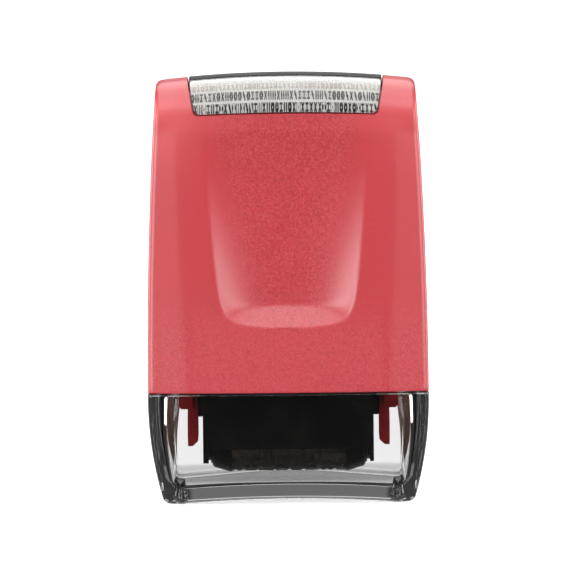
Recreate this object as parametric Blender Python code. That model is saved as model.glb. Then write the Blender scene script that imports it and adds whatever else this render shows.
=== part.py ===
"""Privacy roller stamp: two housing shells over a replaceable ink cartridge, and a clear pull-off cap.

Metres, +Z up. The front looks along -Y, and the stamp stands on the ends of its cap at z = 0.
The sizes are worked out from the inside: the printing roller sets the cartridge, the cartridge sets
the holder, and the holder and the room beside it set the housing and the cap.
"""

import math

import bmesh
import bpy
from mathutils import Matrix, Vector

# Clearances and helpers
GAP = 0.0003  # between any two neighbouring pieces
OVERRUN = 0.0020  # how far a cutter reaches past what it cuts
MERGE = 0.000001  # points this close are one

# Printing roller, turned about the X axis
SLEEVE_LENGTH = 0.0170
SLEEVE_RADIUS = 0.0094
SLEEVE_THICKNESS = 0.0015
CORE_WALL = 0.0012
HUB_WIDTH = 0.0030
HUB_TAPER = 0.0007
HUB_SPIGOT = 0.0018
HUB_EDGE = 0.0003
AXLE_RADIUS = 0.0010
AXLE_CHAMFER = 0.0002

# Flanged bush, four alike
BUSH_WALL = 0.0007
BUSH_FLANGE = 0.0006
BUSH_FLANGE_RIM = 0.0012

# Inking roller above it
FOAM_RADIUS = 0.0060
FOAM_THICKNESS = 0.0031

# Cartridge
CHEEK_THICKNESS = 0.0008
CHEEK_SETBACK = 0.0017
CASE_END_WALL = 0.0005
CASE_WALL = 0.0009
ROLLER_ROOM = 0.0006
INK_ROOM = 0.0012
INK_HEADROOM = 0.0022
CASE_STEP_RISE = 0.0005
CASE_SHOULDER_RISE = 0.0070
CASE_SHOULDER_HEIGHT = 0.0040
SKIRT_REACH = 0.0091
LID_THICKNESS = 0.0012
LID_SPIGOT = 0.0011
LID_SPIGOT_WALL = 0.0010
PLUG_RADIUS = 0.0017
PLUG_HEAD_RIM = 0.0013
PLUG_HEAD_HEIGHT = 0.0008

# Cartridge holder
ARM_THICKNESS = 0.0016
ARM_HALF_DEPTH = 0.0055
ARM_REACH = 0.0091
ARM_CHAMFER = 0.0008
COLLAR_THICKNESS = 0.0014
COLLAR_REACH = 0.00315
COLLAR_RISE = 0.0050
COLLAR_HALF_DEPTH = 0.0070
COLLAR_CHAMFER = 0.0005
PLATE_THICKNESS = 0.0016
PLATE_HALF_DEPTH = 0.0075
TONGUE_HALF_DEPTH = 0.0038
PLUG_HEADROOM = 0.0005

# Cap
CAP_WALL = 0.0015
CAP_FLOOR = 0.00175
CAP_EDGE_RADIUS = 0.0010
CAP_ARCH_RISE = 0.00065
CAP_ARCH_FADE = 0.0050
CAP_FOOT_WIDTH = 0.0021
CAP_SIDE_TAPER = 0.0024
CAP_DEPTH_TAPER = 0.0016
CAP_BOTTOM_BAND = 0.00485
CAP_LIP_THICKNESS = 0.0008
CAP_LIP_HEIGHT = 0.0016
CAP_LIP_BLEND = 0.0014
ROLLER_CLEARANCE = 0.00145

# Housing
HOUSING_WALL = 0.0015
SEAM_ABOVE_AXIS = 0.0043
SIDE_ROOM = 0.00315
DEPTH_ROOM = 0.0016
HEAD_SPACE = 0.02415
SIDE_TAPER = 0.00165
TOP_FLAT_HALF_DEPTH = 0.00255
TOP_ROUNDING = 0.0063
TOP_CORNER_RADIUS = 0.0011
TOP_CROWN_RADIUS = 0.1786
TOP_CROWN_FADE = 0.0120
FACE_CROWN = 0.00035
SEAM_BAND = 0.0063
TOP_BAND = 0.0023
CREASE_ANGLE = math.radians(8)
CREASE_FADE = 0.0090
CORNER_SHARE = 0.14  # of the half depth that the rounded corner takes
CAVITY_TAPER = 0.0040

# Thumb recess, front and rear
RECESS_RISE = 0.0099
RECESS_HEIGHT = 0.0299
RECESS_DEPTH = 0.0018
RECESS_BOTTOM_HALF_WIDTH = 0.0100
RECESS_TOP_HALF_WIDTH = 0.0128
RECESS_SIDE_BOW = 0.0004
RECESS_BOTTOM_SAG = 0.0009
RECESS_SCOOP_POWER = 3  # 2 gives a plain hollow, more makes its sides steeper
RECESS_BOTTOM_RAMP = 0.0033
RECESS_LIFT = 0.00015
RECESS_BACKING = 0.0013

# Window and label over the top
WINDOW_TOP_HALF_WIDTH = 0.0149
WINDOW_LOW_HALF_WIDTH = 0.0140
WINDOW_HEIGHT = 0.0060
WINDOW_THICKNESS = 0.0011
WINDOW_LIP = 0.0008
WINDOW_CORNER = 0.0006
WINDOW_SIDE_GAP = 0.0004
LABEL_MARGIN = 0.0003
LABEL_THICKNESS = 0.00025
SEAT_BACKING = 0.0013

# Pins that line the shells up, and ledges that hold the plate
BOSS_RADIUS = 0.0015
PIN_RADIUS = 0.0006
PIN_LENGTH = 0.0025
LOW_BOSS_RISE = 0.0100
HIGH_BOSS_RISE = 0.0104
LEDGE_THICKNESS = 0.0012
LEDGE_REACH = 0.0018
LEDGE_SETBACK = 0.0008

# Mesh fineness, in counts
FACE_STEPS = 3
CORNER_STEPS = 5
WALL_LEVELS = 7
TOP_LEVELS = 6
CAP_LEVELS = 6
STRIP_STATIONS = 8
ARC_STEPS = 7
STRAIGHT_STEPS = 2
CHEEK_STEPS = 16
EDGE_STEPS = 3
RECESS_COLUMNS = 14
RECESS_ROWS = 16
ROLLER_SEGMENTS = 48
SMALL_SEGMENTS = 24
PIN_SEGMENTS = 16
EDGE_ANGLE = math.radians(30)

# Places along X, as distances from the middle
sleeve_end = SLEEVE_LENGTH / 2
hub_start = sleeve_end + GAP
hub_end = hub_start + HUB_WIDTH
cheek_inner = hub_end + GAP
cheek_outer = cheek_inner + CHEEK_THICKNESS
case_end_inner = cheek_outer + GAP
case_end_outer = case_end_inner + CASE_END_WALL
arm_inner = case_end_outer + GAP
arm_outer = arm_inner + ARM_THICKNESS
collar_outer = arm_outer + COLLAR_THICKNESS
boss_place = arm_outer + GAP + BOSS_RADIUS
seam_half_width = collar_outer + SIDE_ROOM + HOUSING_WALL

# Radii
axle_hole = AXLE_RADIUS + GAP
bush_radius = axle_hole + BUSH_WALL
bush_flange_radius = bush_radius + BUSH_FLANGE_RIM
bush_hole = bush_radius + GAP
core_radius = SLEEVE_RADIUS - SLEEVE_THICKNESS - GAP
core_bore = core_radius - CORE_WALL
flange_start = hub_end - BUSH_FLANGE
hub_recess = flange_start - GAP
ink_core_radius = FOAM_RADIUS - FOAM_THICKNESS - GAP

# Heights
cap_floor_top = CAP_ARCH_RISE + CAP_FLOOR
stamp_axis = cap_floor_top + ROLLER_CLEARANCE + SLEEVE_RADIUS
seam = stamp_axis + SEAM_ABOVE_AXIS
cap_rim = seam - GAP
ink_axis = stamp_axis + SLEEVE_RADIUS + GAP + FOAM_RADIUS
case_step = stamp_axis + CASE_STEP_RISE
case_shoulder = stamp_axis + CASE_SHOULDER_RISE
case_neck = case_shoulder + CASE_SHOULDER_HEIGHT
case_top = ink_axis + FOAM_RADIUS + INK_HEADROOM
lid_bottom = case_top + GAP
lid_top = lid_bottom + LID_THICKNESS
plug_head = lid_top + GAP
plate_bottom = plug_head + PLUG_HEAD_HEIGHT + PLUG_HEADROOM
plate_top = plate_bottom + PLATE_THICKNESS
housing_top = plate_top + HEAD_SPACE

# Half depths
case_inner_depth = SLEEVE_RADIUS + ROLLER_ROOM
case_outer_depth = case_inner_depth + CASE_WALL
neck_inner_depth = FOAM_RADIUS + INK_ROOM
neck_outer_depth = neck_inner_depth + CASE_WALL
seam_half_depth = case_outer_depth + DEPTH_ROOM + HOUSING_WALL

# The face leans back by wall_lean from the seam until it meets the top rounding at the shoulder
round_height = housing_top - TOP_ROUNDING
round_depth = TOP_FLAT_HALF_DEPTH
face_reach = math.hypot(seam_half_depth - round_depth, round_height - seam)
face_slant = math.atan2(seam - round_height, seam_half_depth - round_depth)
wall_lean = face_slant + math.acos(TOP_ROUNDING / face_reach)
shoulder = round_height + TOP_ROUNDING * math.sin(wall_lean)
shoulder_half_depth = round_depth + TOP_ROUNDING * math.cos(wall_lean)
crown_start = housing_top - TOP_CROWN_FADE
recess_bottom = seam + RECESS_RISE
recess_top = recess_bottom + RECESS_HEIGHT
label_depth = WINDOW_THICKNESS + GAP
seat_depth = label_depth + LABEL_THICKNESS + GAP
cavity_rounding = TOP_ROUNDING - seat_depth - SEAT_BACKING
window_bottom = housing_top - WINDOW_HEIGHT


def ease(share):
    """Smooth step from 0 to 1."""
    share = min(max(share, 0), 1)
    return share * share * (3 - 2 * share)


def mix(start, end, share):
    return start + (end - start) * share


# Scene helpers


def clear_scene():
    for old in list(bpy.data.objects):
        bpy.data.objects.remove(old)


def make_material(name, colour, roughness, metallic=0, transmission=0):
    material = bpy.data.materials.new(name)
    material.use_nodes = True
    shader = material.node_tree.nodes["Principled BSDF"]
    shader.inputs["Base Color"].default_value = (*colour, 1)
    shader.inputs["Roughness"].default_value = roughness
    shader.inputs["Metallic"].default_value = metallic
    shader.inputs["Transmission Weight"].default_value = transmission
    material.diffuse_color = (*colour, 1)
    return material


def add_object(name, shape, material=None, parent=None):
    """A bmesh as an object. Without a material it is a helper that only cuts or joins."""
    bmesh.ops.recalc_face_normals(shape, faces=shape.faces)
    mesh = bpy.data.meshes.new(name)
    shape.to_mesh(mesh)
    shape.free()
    piece = bpy.data.objects.new(name, mesh)
    bpy.context.scene.collection.objects.link(piece)
    if material:
        mesh.materials.append(material)
    else:
        piece.hide_render = True
        piece.display_type = "WIRE"
    piece.parent = parent
    return piece


def add_pivot(name, place):
    pivot = bpy.data.objects.new(name, None)
    pivot.location = place
    bpy.context.scene.collection.objects.link(pivot)
    return pivot


def combine(piece, helper, operation="DIFFERENCE"):
    modifier = piece.modifiers.new(f"{operation.title()} {helper.name}", "BOOLEAN")
    modifier.operation = operation
    modifier.object = helper
    modifier.solver = "EXACT"
    return piece


def shade_round(piece):
    piece.data.shade_smooth()
    piece.data.set_sharp_from_angle(angle=EDGE_ANGLE)
    return piece


# Shape helpers


def add_block(shape, low, high):
    """A box between two corners."""
    low, high = Vector(low), Vector(high)
    size = high - low
    place = Matrix.Translation((low + high) / 2) @ Matrix.Diagonal((*size, 1))
    bmesh.ops.create_cube(shape, size=1, matrix=place)


def block(low, high):
    shape = bmesh.new()
    add_block(shape, low, high)
    return shape


def prism(outline, start, end):
    """An outline in (y, z) drawn out along X from start to end."""
    shape = bmesh.new()
    face = shape.faces.new([shape.verts.new((start, y, z)) for y, z in outline])
    grown = bmesh.ops.extrude_face_region(shape, geom=[face])
    moved = [item for item in grown["geom"] if isinstance(item, bmesh.types.BMVert)]
    bmesh.ops.translate(shape, verts=moved, vec=(end - start, 0, 0))
    return shape


def cross_prism(outline, half_depth):
    """An outline in (x, z) drawn out along Y, as far to the front as to the rear."""
    shape = bmesh.new()
    face = shape.faces.new([shape.verts.new((x, -half_depth, z)) for x, z in outline])
    grown = bmesh.ops.extrude_face_region(shape, geom=[face])
    moved = [item for item in grown["geom"] if isinstance(item, bmesh.types.BMVert)]
    bmesh.ops.translate(shape, verts=moved, vec=(0, 2 * half_depth, 0))
    return shape


def turned(profile, segments, closed=True):
    """A profile in (x, radius) turned about the X axis. An open profile starts and ends on the axis."""
    shape = bmesh.new()
    points = [shape.verts.new((x, 0, radius)) for x, radius in profile]
    edges = [shape.edges.new(pair) for pair in zip(points, points[1:])]
    if closed:
        edges.append(shape.edges.new((points[-1], points[0])))
    bmesh.ops.spin(
        shape,
        geom=points + edges,
        cent=(0, 0, 0),
        axis=(1, 0, 0),
        angle=2 * math.pi,
        steps=segments,
        use_merge=True,
    )
    bmesh.ops.remove_doubles(shape, verts=shape.verts, dist=MERGE)
    return shape


def add_cylinder(shape, radius, start, end, x, z, segments=SMALL_SEGMENTS):
    """A cylinder along Y."""
    middle = Vector((x, (start + end) / 2, z))
    place = Matrix.Translation(middle) @ Matrix.Rotation(math.pi / 2, 4, "X")
    bmesh.ops.create_cone(
        shape,
        cap_ends=True,
        segments=segments,
        radius1=radius,
        radius2=radius,
        depth=end - start,
        matrix=place,
    )


# The outer form, shared by the housing and the cap


def half_width(z):
    if z < seam:
        return seam_half_width - CAP_SIDE_TAPER * ((seam - z) / seam) ** 2
    width = seam_half_width - SIDE_TAPER * ((z - seam) / (housing_top - seam)) ** 2
    rise = max(z - (housing_top - TOP_CORNER_RADIUS), 0)
    rounding = math.sqrt(max(TOP_CORNER_RADIUS**2 - rise**2, 0))
    return width - TOP_CORNER_RADIUS + rounding


def half_depth(z):
    if z < seam:
        return seam_half_depth - CAP_DEPTH_TAPER * ((seam - z) / seam) ** 2
    if z < shoulder:
        return shoulder_half_depth + (shoulder - z) * math.tan(wall_lean)
    return round_depth + math.sqrt(max(TOP_ROUNDING**2 - (z - round_height) ** 2, 0))


def side_band(z):
    """How wide the leaning band beside the front face is."""
    if z < seam:
        return mix(CAP_BOTTOM_BAND, SEAM_BAND, z / seam)
    return mix(SEAM_BAND, TOP_BAND, (z - seam) / (housing_top - seam))


def crease_angle(z):
    return CREASE_ANGLE * ease((shoulder - z) / CREASE_FADE)


def face_place(x, z):
    """How far from the middle plane the crowned front face lies."""
    return half_depth(z) - FACE_CROWN * (x / (half_width(z) - side_band(z))) ** 2


def crown_drop(x, z):
    """How far the crowned top lies below its middle."""
    share = ease((z - crown_start) / (housing_top - crown_start))
    return share * x * x / (2 * TOP_CROWN_RADIUS)


def outline(z, inset=0, depth=None):
    """The right front quarter of a level section: crowned face, crease, rounded corner, side."""
    width = half_width(z) - inset
    depth = half_depth(z) - inset if depth is None else depth
    angle = crease_angle(z)
    crease = half_width(z) - side_band(z) - inset * math.tan(angle / 2)
    face = [
        (crease * step / FACE_STEPS, FACE_CROWN * (step / FACE_STEPS) ** 2 - depth)
        for step in range(FACE_STEPS)
    ]
    start = Vector((crease, FACE_CROWN - depth))
    knee = Vector((width, start.y + math.tan(angle) * (width - crease)))
    end = Vector((width, depth * (CORNER_SHARE - 1)))
    corner = []
    for step in range(CORNER_STEPS + 1):
        share = step / CORNER_STEPS
        point = start.lerp(knee, share).lerp(knee.lerp(end, share), share)
        corner.append((point.x, point.y))
    return face + corner + [(width, 0)]


def ring(z, inset=0, depth=None, lift=None):
    """A whole level section as points. lift gives each point's change in height from its x."""
    quarter = outline(z, inset, depth)
    front_right = quarter[:-1]
    rear_right = [(x, -y) for x, y in reversed(quarter[1:])]
    rear_left = [(-x, -y) for x, y in quarter[:-1]]
    front_left = [(-x, y) for x, y in reversed(quarter[1:])]
    points = front_right + rear_right + rear_left + front_left
    return [Vector((x, y, z + (lift(x, z) if lift else 0))) for x, y in points]


def loft(rings):
    """Rings joined in turn. Straight rungs from front to rear close the first and the last."""
    shape = bmesh.new()
    levels = [[shape.verts.new(point) for point in points] for points in rings]
    count = len(levels[0])
    for below, above in zip(levels, levels[1:]):
        for place in range(count):
            after = (place + 1) % count
            shape.faces.new((below[place], below[after], above[after], above[place]))
    half = count // 2
    quarter = count // 4
    for level in (levels[0], levels[-1]):
        for place in range(-quarter, quarter):
            corners = [level[place], level[place + 1]]
            corners += [level[(half - place - 1) % count], level[(half - place) % count]]
            shape.faces.new(list(dict.fromkeys(corners)))
    return shape


# Housing


def top_lift(x, z):
    return -crown_drop(x, z)


def housing_form():
    """The closed outer form of the housing."""
    levels = [mix(seam, shoulder, step / WALL_LEVELS) for step in range(WALL_LEVELS)]
    for step in range(TOP_LEVELS + 1):
        angle = mix(wall_lean, math.pi / 2, step / TOP_LEVELS)
        levels.append(round_height + TOP_ROUNDING * math.sin(angle))
    return loft([ring(z, lift=top_lift) for z in levels])


def cavity_depth(z):
    taper_start = round_height - CAVITY_TAPER
    straight = half_depth(min(z, taper_start)) - HOUSING_WALL
    narrow = round_depth + cavity_rounding
    if z <= round_height:
        return mix(straight, narrow, max(z - taper_start, 0) / CAVITY_TAPER)
    return round_depth + math.sqrt(max(cavity_rounding**2 - (z - round_height) ** 2, 0))


def cavity_form():
    """The hollow of the housing, before anything on the walls inside stands into it."""
    taper_start = round_height - CAVITY_TAPER
    levels = [mix(seam, taper_start, step / WALL_LEVELS) for step in range(WALL_LEVELS)]
    levels += [taper_start, round_height]
    for step in range(1, TOP_LEVELS + 1):
        angle = mix(0, math.pi / 2, step / TOP_LEVELS)
        levels.append(round_height + cavity_rounding * math.sin(angle))
    rings = [ring(z, HOUSING_WALL, cavity_depth(z), top_lift) for z in levels]
    mouth = [point - Vector((0, 0, OVERRUN)) for point in rings[0]]
    return loft([mouth] + rings)


def recess_half_width(z):
    share = (z - recess_bottom) / RECESS_HEIGHT
    bow = 4 * RECESS_SIDE_BOW * share * (1 - share)
    return mix(RECESS_BOTTOM_HALF_WIDTH, RECESS_TOP_HALF_WIDTH, share) + bow


def recess_form(side, backing=0):
    """The thumb recess as a cutter from outside: side is -1 in front and 1 at the rear."""
    shape = bmesh.new()
    grid = bmesh.ops.create_grid(
        shape, x_segments=RECESS_COLUMNS, y_segments=RECESS_ROWS, size=1
    )
    for point in grid["verts"]:
        across, up = point.co.x, (point.co.y + 1) / 2
        foot = recess_bottom + RECESS_BOTTOM_SAG * across**2
        z = mix(foot, recess_top, up)
        x = across * recess_half_width(z)
        sides = 1 - abs(across) ** RECESS_SCOOP_POWER
        rise = min((z - foot) / RECESS_BOTTOM_RAMP, 1)
        depth = RECESS_DEPTH * sides * rise * (1 - up) - RECESS_LIFT
        point.co = (x, side * (face_place(x, z) - depth - backing), z)
    skin = list(shape.faces)
    grown = bmesh.ops.extrude_face_region(shape, geom=skin)
    for item in grown["geom"]:
        if isinstance(item, bmesh.types.BMVert):
            item.co.y = side * (seam_half_depth + OVERRUN)
    return shape


def path_over_top(inset, bottom, extra_steps=0):
    """The side view of a layer this far under the surface: up the front, over the top, down the rear.

    The number of points doesn't change with the sizes, so that two paths can always be joined.
    """
    radius = TOP_ROUNDING - inset
    first_angle = max(wall_lean, math.asin((bottom - round_height) / radius))
    centre = Vector((round_depth, round_height))
    foot = centre + radius * Vector((math.cos(wall_lean), math.sin(wall_lean)))
    front = []
    if foot.y > bottom:
        spread = (foot.y - bottom) * math.tan(wall_lean)
        low = Vector((foot.x + spread, bottom))
        front = [low.lerp(foot, step / STRAIGHT_STEPS) for step in range(STRAIGHT_STEPS)]
    arc_steps = ARC_STEPS + STRAIGHT_STEPS + extra_steps - len(front)
    for step in range(arc_steps + 1):
        angle = mix(first_angle, math.pi / 2, step / arc_steps)
        front.append(centre + radius * Vector((math.cos(angle), math.sin(angle))))
    return [(-y, z) for y, z in front] + [(y, z) for y, z in reversed(front)]


def strip_form(outer, inner, bottom, grow=0):
    """Two equally long paths, joined and drawn out along X, narrower towards the lower ends."""
    profile = outer + inner[::-1]
    shape = bmesh.new()
    columns = []
    for station in range(STRIP_STATIONS + 1):
        share = 2 * station / STRIP_STATIONS - 1
        column = []
        for y, z in profile:
            rise = (z - window_bottom) / WINDOW_HEIGHT
            half = mix(WINDOW_LOW_HALF_WIDTH, WINDOW_TOP_HALF_WIDTH, rise) + grow
            short = max(bottom + WINDOW_CORNER - z, 0)
            half -= short**2 / WINDOW_CORNER
            x = share * half
            column.append(shape.verts.new((x, y, z - crown_drop(x, z))))
        columns.append(column)
    count = len(profile)
    for left, right in zip(columns, columns[1:]):
        for place in range(count):
            after = (place + 1) % count
            shape.faces.new((left[place], left[after], right[after], right[place]))
    for column in (columns[0], columns[-1]):
        for place in range(len(outer) - 1):
            opposite = count - 1 - place
            corners = (column[place], column[place + 1], column[opposite - 1], column[opposite])
            shape.faces.new(corners)
    return shape


def window_form():
    """The clear cover: a bent sheet whose lower ends turn in to the seat."""
    lip_top = window_bottom + WINDOW_LIP
    inner = path_over_top(WINDOW_THICKNESS, lip_top)
    deep = path_over_top(seat_depth - GAP, window_bottom)
    deep_top = path_over_top(seat_depth - GAP, lip_top)
    turned_in = [deep[0], deep_top[0]]
    back = turned_in + inner + [deep_top[-1], deep[-1]]
    outer = path_over_top(0, window_bottom, len(turned_in))
    return strip_form(outer, back, window_bottom)


def label_form():
    bottom = window_bottom + WINDOW_LIP + GAP
    outer = path_over_top(label_depth, bottom)
    inner = path_over_top(label_depth + LABEL_THICKNESS, bottom)
    return strip_form(outer, inner, bottom, -LABEL_MARGIN)


def notch_form():
    bottom = window_bottom - WINDOW_SIDE_GAP
    outer = path_over_top(-OVERRUN, bottom)
    inner = path_over_top(seat_depth, bottom)
    return strip_form(outer, inner, bottom, WINDOW_SIDE_GAP)


def add_shell_fittings(cavity):
    """Bosses for the pins, and ledges over and under the holder's plate, left standing in the hollow."""
    for side in (-1, 1):
        for z in boss_levels:
            boss = bmesh.new()
            add_cylinder(boss, BOSS_RADIUS, -seam_half_depth, seam_half_depth, side * boss_place, z)
            combine(cavity, add_object(f"boss tool {side} {z:.4f}", boss))
        for z in ledge_levels:
            inner, outer = sorted((side * ledge_inner, side * (seam_half_width + OVERRUN)))
            ledge = block(
                (inner, -ledge_half_depth, z),
                (outer, ledge_half_depth, z + LEDGE_THICKNESS),
            )
            combine(cavity, add_object(f"ledge tool {side} {z:.4f}", ledge))


def pins(radius, start, end):
    shape = bmesh.new()
    for side in (-1, 1):
        for z in boss_levels:
            add_cylinder(shape, radius, start, end, side * boss_place, z, PIN_SEGMENTS)
    return shape


def make_housing(red):
    cavity = add_object("cavity tool", cavity_form())
    for side, word in ((-1, "front"), (1, "rear")):
        backing = recess_form(side, RECESS_BACKING)
        combine(cavity, add_object(f"{word} backing tool", backing))
    add_shell_fittings(cavity)
    notch = add_object("notch tool", notch_form())
    far = seam_half_width + OVERRUN
    shells = []
    for side, word in ((-1, "front"), (1, "rear")):
        shell = add_object(f"{word}_shell", housing_form(), red)
        near, deep = sorted((side * GAP / 2, -side * (seam_half_depth + OVERRUN)))
        other_half = block((-far, near, seam - OVERRUN), (far, deep, housing_top + OVERRUN))
        combine(shell, add_object(f"{word} half tool", other_half))
        combine(shell, cavity)
        combine(shell, notch)
        combine(shell, add_object(f"{word} recess tool", recess_form(side)))
        shells.append(shell)
    front, rear = shells
    pin_tool = add_object("pin tool", pins(PIN_RADIUS, -PIN_LENGTH, PIN_LENGTH))
    combine(front, pin_tool, "UNION")
    socket = pins(PIN_RADIUS + GAP, -OVERRUN, PIN_LENGTH + GAP)
    combine(rear, add_object("socket tool", socket))
    for shell in shells:
        shade_round(shell)


def make_window(clear, silver):
    shade_round(add_object("top_window", window_form(), clear))
    shade_round(add_object("pattern_label", label_form(), silver))


# Cartridge holder, an upturned U with two arms that reach into the cap


def make_holder(red):
    plate = block(
        (-collar_outer, -PLATE_HALF_DEPTH, plate_bottom),
        (collar_outer, PLATE_HALF_DEPTH, plate_top),
    )
    holder = add_object("cartridge_holder", plate, red)
    tongue = block(
        (-plate_end, -TONGUE_HALF_DEPTH, plate_bottom),
        (plate_end, TONGUE_HALF_DEPTH, plate_top),
    )
    combine(holder, add_object("tongue tool", tongue), "UNION")
    arm_bottom = seam - ARM_REACH
    collar_bottom = seam - COLLAR_REACH
    collar_top = seam + COLLAR_RISE
    middle = mix(plate_bottom, plate_top, 1 / 2)
    for side, word in ((-1, "left"), (1, "right")):
        arm = [
            (side * arm_inner, middle),
            (side * arm_inner, arm_bottom + ARM_CHAMFER),
            (side * (arm_inner + ARM_CHAMFER), arm_bottom),
            (side * arm_outer, arm_bottom),
            (side * arm_outer, middle),
        ]
        shape = cross_prism(arm, ARM_HALF_DEPTH)
        combine(holder, add_object(f"{word} arm tool", shape), "UNION")
        overlap = mix(arm_inner, arm_outer, 1 / 2)
        collar = [
            (side * overlap, collar_top),
            (side * overlap, collar_bottom),
            (side * (collar_outer - COLLAR_CHAMFER), collar_bottom),
            (side * collar_outer, collar_bottom + COLLAR_CHAMFER),
            (side * collar_outer, collar_top),
        ]
        shape = cross_prism(collar, COLLAR_HALF_DEPTH)
        combine(holder, add_object(f"{word} collar tool", shape), "UNION")
        web_ends = sorted((side * arm_inner, side * mix(overlap, arm_outer, 1 / 2)))
        web = block(
            (web_ends[0], -COLLAR_HALF_DEPTH, seam),
            (web_ends[1], COLLAR_HALF_DEPTH, collar_top),
        )
        combine(holder, add_object(f"{word} web tool", web), "UNION")
    return holder


# Cartridge


def case_outline(shoulder_depth, neck_depth, bottom, top):
    right = [
        (shoulder_depth, bottom),
        (shoulder_depth, case_shoulder),
        (neck_depth, case_neck),
        (neck_depth, top),
    ]
    return right + [(-y, z) for y, z in reversed(right)]


def make_case(black, parent):
    bottom = seam - SKIRT_REACH
    outer = case_outline(case_outer_depth, neck_outer_depth, bottom, case_top)
    inner = case_outline(
        case_inner_depth, neck_inner_depth, bottom - OVERRUN, case_top + OVERRUN
    )
    case = add_object("cartridge_case", prism(outer, -case_end_outer, case_end_outer), black, parent)
    hollow = prism(inner, -case_end_inner, case_end_inner)
    combine(case, add_object("case hollow tool", hollow))
    for side, word in ((-1, "left"), (1, "right")):
        inner_x, outer_x = sorted((side * cheek_outer, side * (case_end_outer + OVERRUN)))
        end = block(
            (inner_x, -case_outer_depth - OVERRUN, bottom - OVERRUN),
            (outer_x, case_outer_depth + OVERRUN, case_step),
        )
        combine(case, add_object(f"{word} case end tool", end))


def make_lid(black, parent):
    cover = block(
        (-case_end_outer, -neck_outer_depth, lid_bottom),
        (case_end_outer, neck_outer_depth, lid_top),
    )
    lid = add_object("cartridge_lid", cover, black, parent)
    spigot_end = case_end_inner - GAP
    spigot_depth = neck_inner_depth - GAP
    spigot = block(
        (-spigot_end, -spigot_depth, lid_bottom - LID_SPIGOT),
        (spigot_end, spigot_depth, mix(lid_bottom, lid_top, 1 / 2)),
    )
    combine(lid, add_object("lid spigot tool", spigot), "UNION")
    hollow = block(
        (LID_SPIGOT_WALL - spigot_end, LID_SPIGOT_WALL - spigot_depth, lid_bottom - LID_SPIGOT - OVERRUN),
        (spigot_end - LID_SPIGOT_WALL, spigot_depth - LID_SPIGOT_WALL, lid_bottom),
    )
    combine(lid, add_object("lid hollow tool", hollow))
    hole = upright(PLUG_RADIUS + GAP, lid_bottom - OVERRUN, lid_top + OVERRUN)
    combine(lid, add_object("filler hole tool", hole))


def upright(radius, start, end):
    """A cylinder along Z in the middle."""
    shape = bmesh.new()
    bmesh.ops.create_cone(
        shape,
        cap_ends=True,
        segments=SMALL_SEGMENTS,
        radius1=radius,
        radius2=radius,
        depth=end - start,
        matrix=Matrix.Translation((0, 0, (start + end) / 2)),
    )
    return shape


def make_plug(black, parent):
    """The filler plug: a round head on a stem, turned about Z."""
    head = PLUG_RADIUS + GAP + PLUG_HEAD_RIM
    stem_end = lid_bottom
    profile = [
        (0, plug_head + PLUG_HEAD_HEIGHT),
        (head, plug_head + PLUG_HEAD_HEIGHT),
        (head, plug_head),
        (PLUG_RADIUS, plug_head),
        (PLUG_RADIUS, stem_end),
        (0, stem_end),
    ]
    shape = bmesh.new()
    points = [shape.verts.new((radius, 0, z)) for radius, z in profile]
    edges = [shape.edges.new(pair) for pair in zip(points, points[1:])]
    bmesh.ops.spin(
        shape,
        geom=points + edges,
        cent=(0, 0, 0),
        axis=(0, 0, 1),
        angle=2 * math.pi,
        steps=SMALL_SEGMENTS,
        use_merge=True,
    )
    bmesh.ops.remove_doubles(shape, verts=shape.verts, dist=MERGE)
    shade_round(add_object("filler_plug", shape, black, parent))


def make_cheeks(black, parent):
    """End plates that carry both axles: round about the printing roller, straight above it."""
    radius = SLEEVE_RADIUS - CHEEK_SETBACK
    depth = min(neck_inner_depth - GAP, radius)
    top = lid_bottom - LID_SPIGOT - GAP
    turn = math.acos(depth / radius)
    arc = [mix(turn, -math.pi - turn, step / CHEEK_STEPS) for step in range(CHEEK_STEPS + 1)]
    round_part = [(radius * math.cos(a), stamp_axis + radius * math.sin(a)) for a in arc]
    plate = [(-depth, top), (depth, top)] + round_part
    holes = bmesh.new()
    for z in (stamp_axis, ink_axis):
        place = Matrix.Translation((0, 0, z)) @ Matrix.Rotation(math.pi / 2, 4, "Y")
        bmesh.ops.create_cone(
            holes,
            cap_ends=True,
            segments=SMALL_SEGMENTS,
            radius1=bush_hole,
            radius2=bush_hole,
            depth=2 * (cheek_outer + OVERRUN),
            matrix=place,
        )
    hole_tool = add_object("cheek hole tool", holes)
    for side, word in ((-1, "left"), (1, "right")):
        ends = sorted((side * cheek_inner, side * cheek_outer))
        cheek = add_object(f"{word}_cheek", prism(plate, *ends), black, parent)
        combine(cheek, hole_tool)
        shade_round(cheek)


def make_bushes(white, parent):
    """Flanged bushes in the cheeks, with the flange against the roller's end."""
    profile = [
        (flange_start, axle_hole),
        (flange_start, bush_flange_radius),
        (hub_end, bush_flange_radius),
        (hub_end, bush_radius),
        (cheek_outer, bush_radius),
        (cheek_outer, axle_hole),
    ]
    for z, roller in ((stamp_axis, "stamp"), (ink_axis, "ink")):
        for side, word in ((-1, "left"), (1, "right")):
            shape = turned([(side * x, radius) for x, radius in profile], SMALL_SEGMENTS)
            bmesh.ops.translate(shape, verts=shape.verts, vec=(0, 0, z))
            shade_round(add_object(f"{roller}_{word}_bush", shape, white, parent))


def make_axle(name, metal, parent):
    end = cheek_outer
    profile = [
        (-end, 0),
        (-end, AXLE_RADIUS - AXLE_CHAMFER),
        (AXLE_CHAMFER - end, AXLE_RADIUS),
        (end - AXLE_CHAMFER, AXLE_RADIUS),
        (end, AXLE_RADIUS - AXLE_CHAMFER),
        (end, 0),
    ]
    shade_round(add_object(name, turned(profile, PIN_SEGMENTS, closed=False), metal, parent))


def make_tube(name, half_length, bore, radius, material, parent):
    profile = [(-half_length, bore), (-half_length, radius), (half_length, radius), (half_length, bore)]
    shade_round(add_object(name, turned(profile, ROLLER_SEGMENTS), material, parent))


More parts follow.
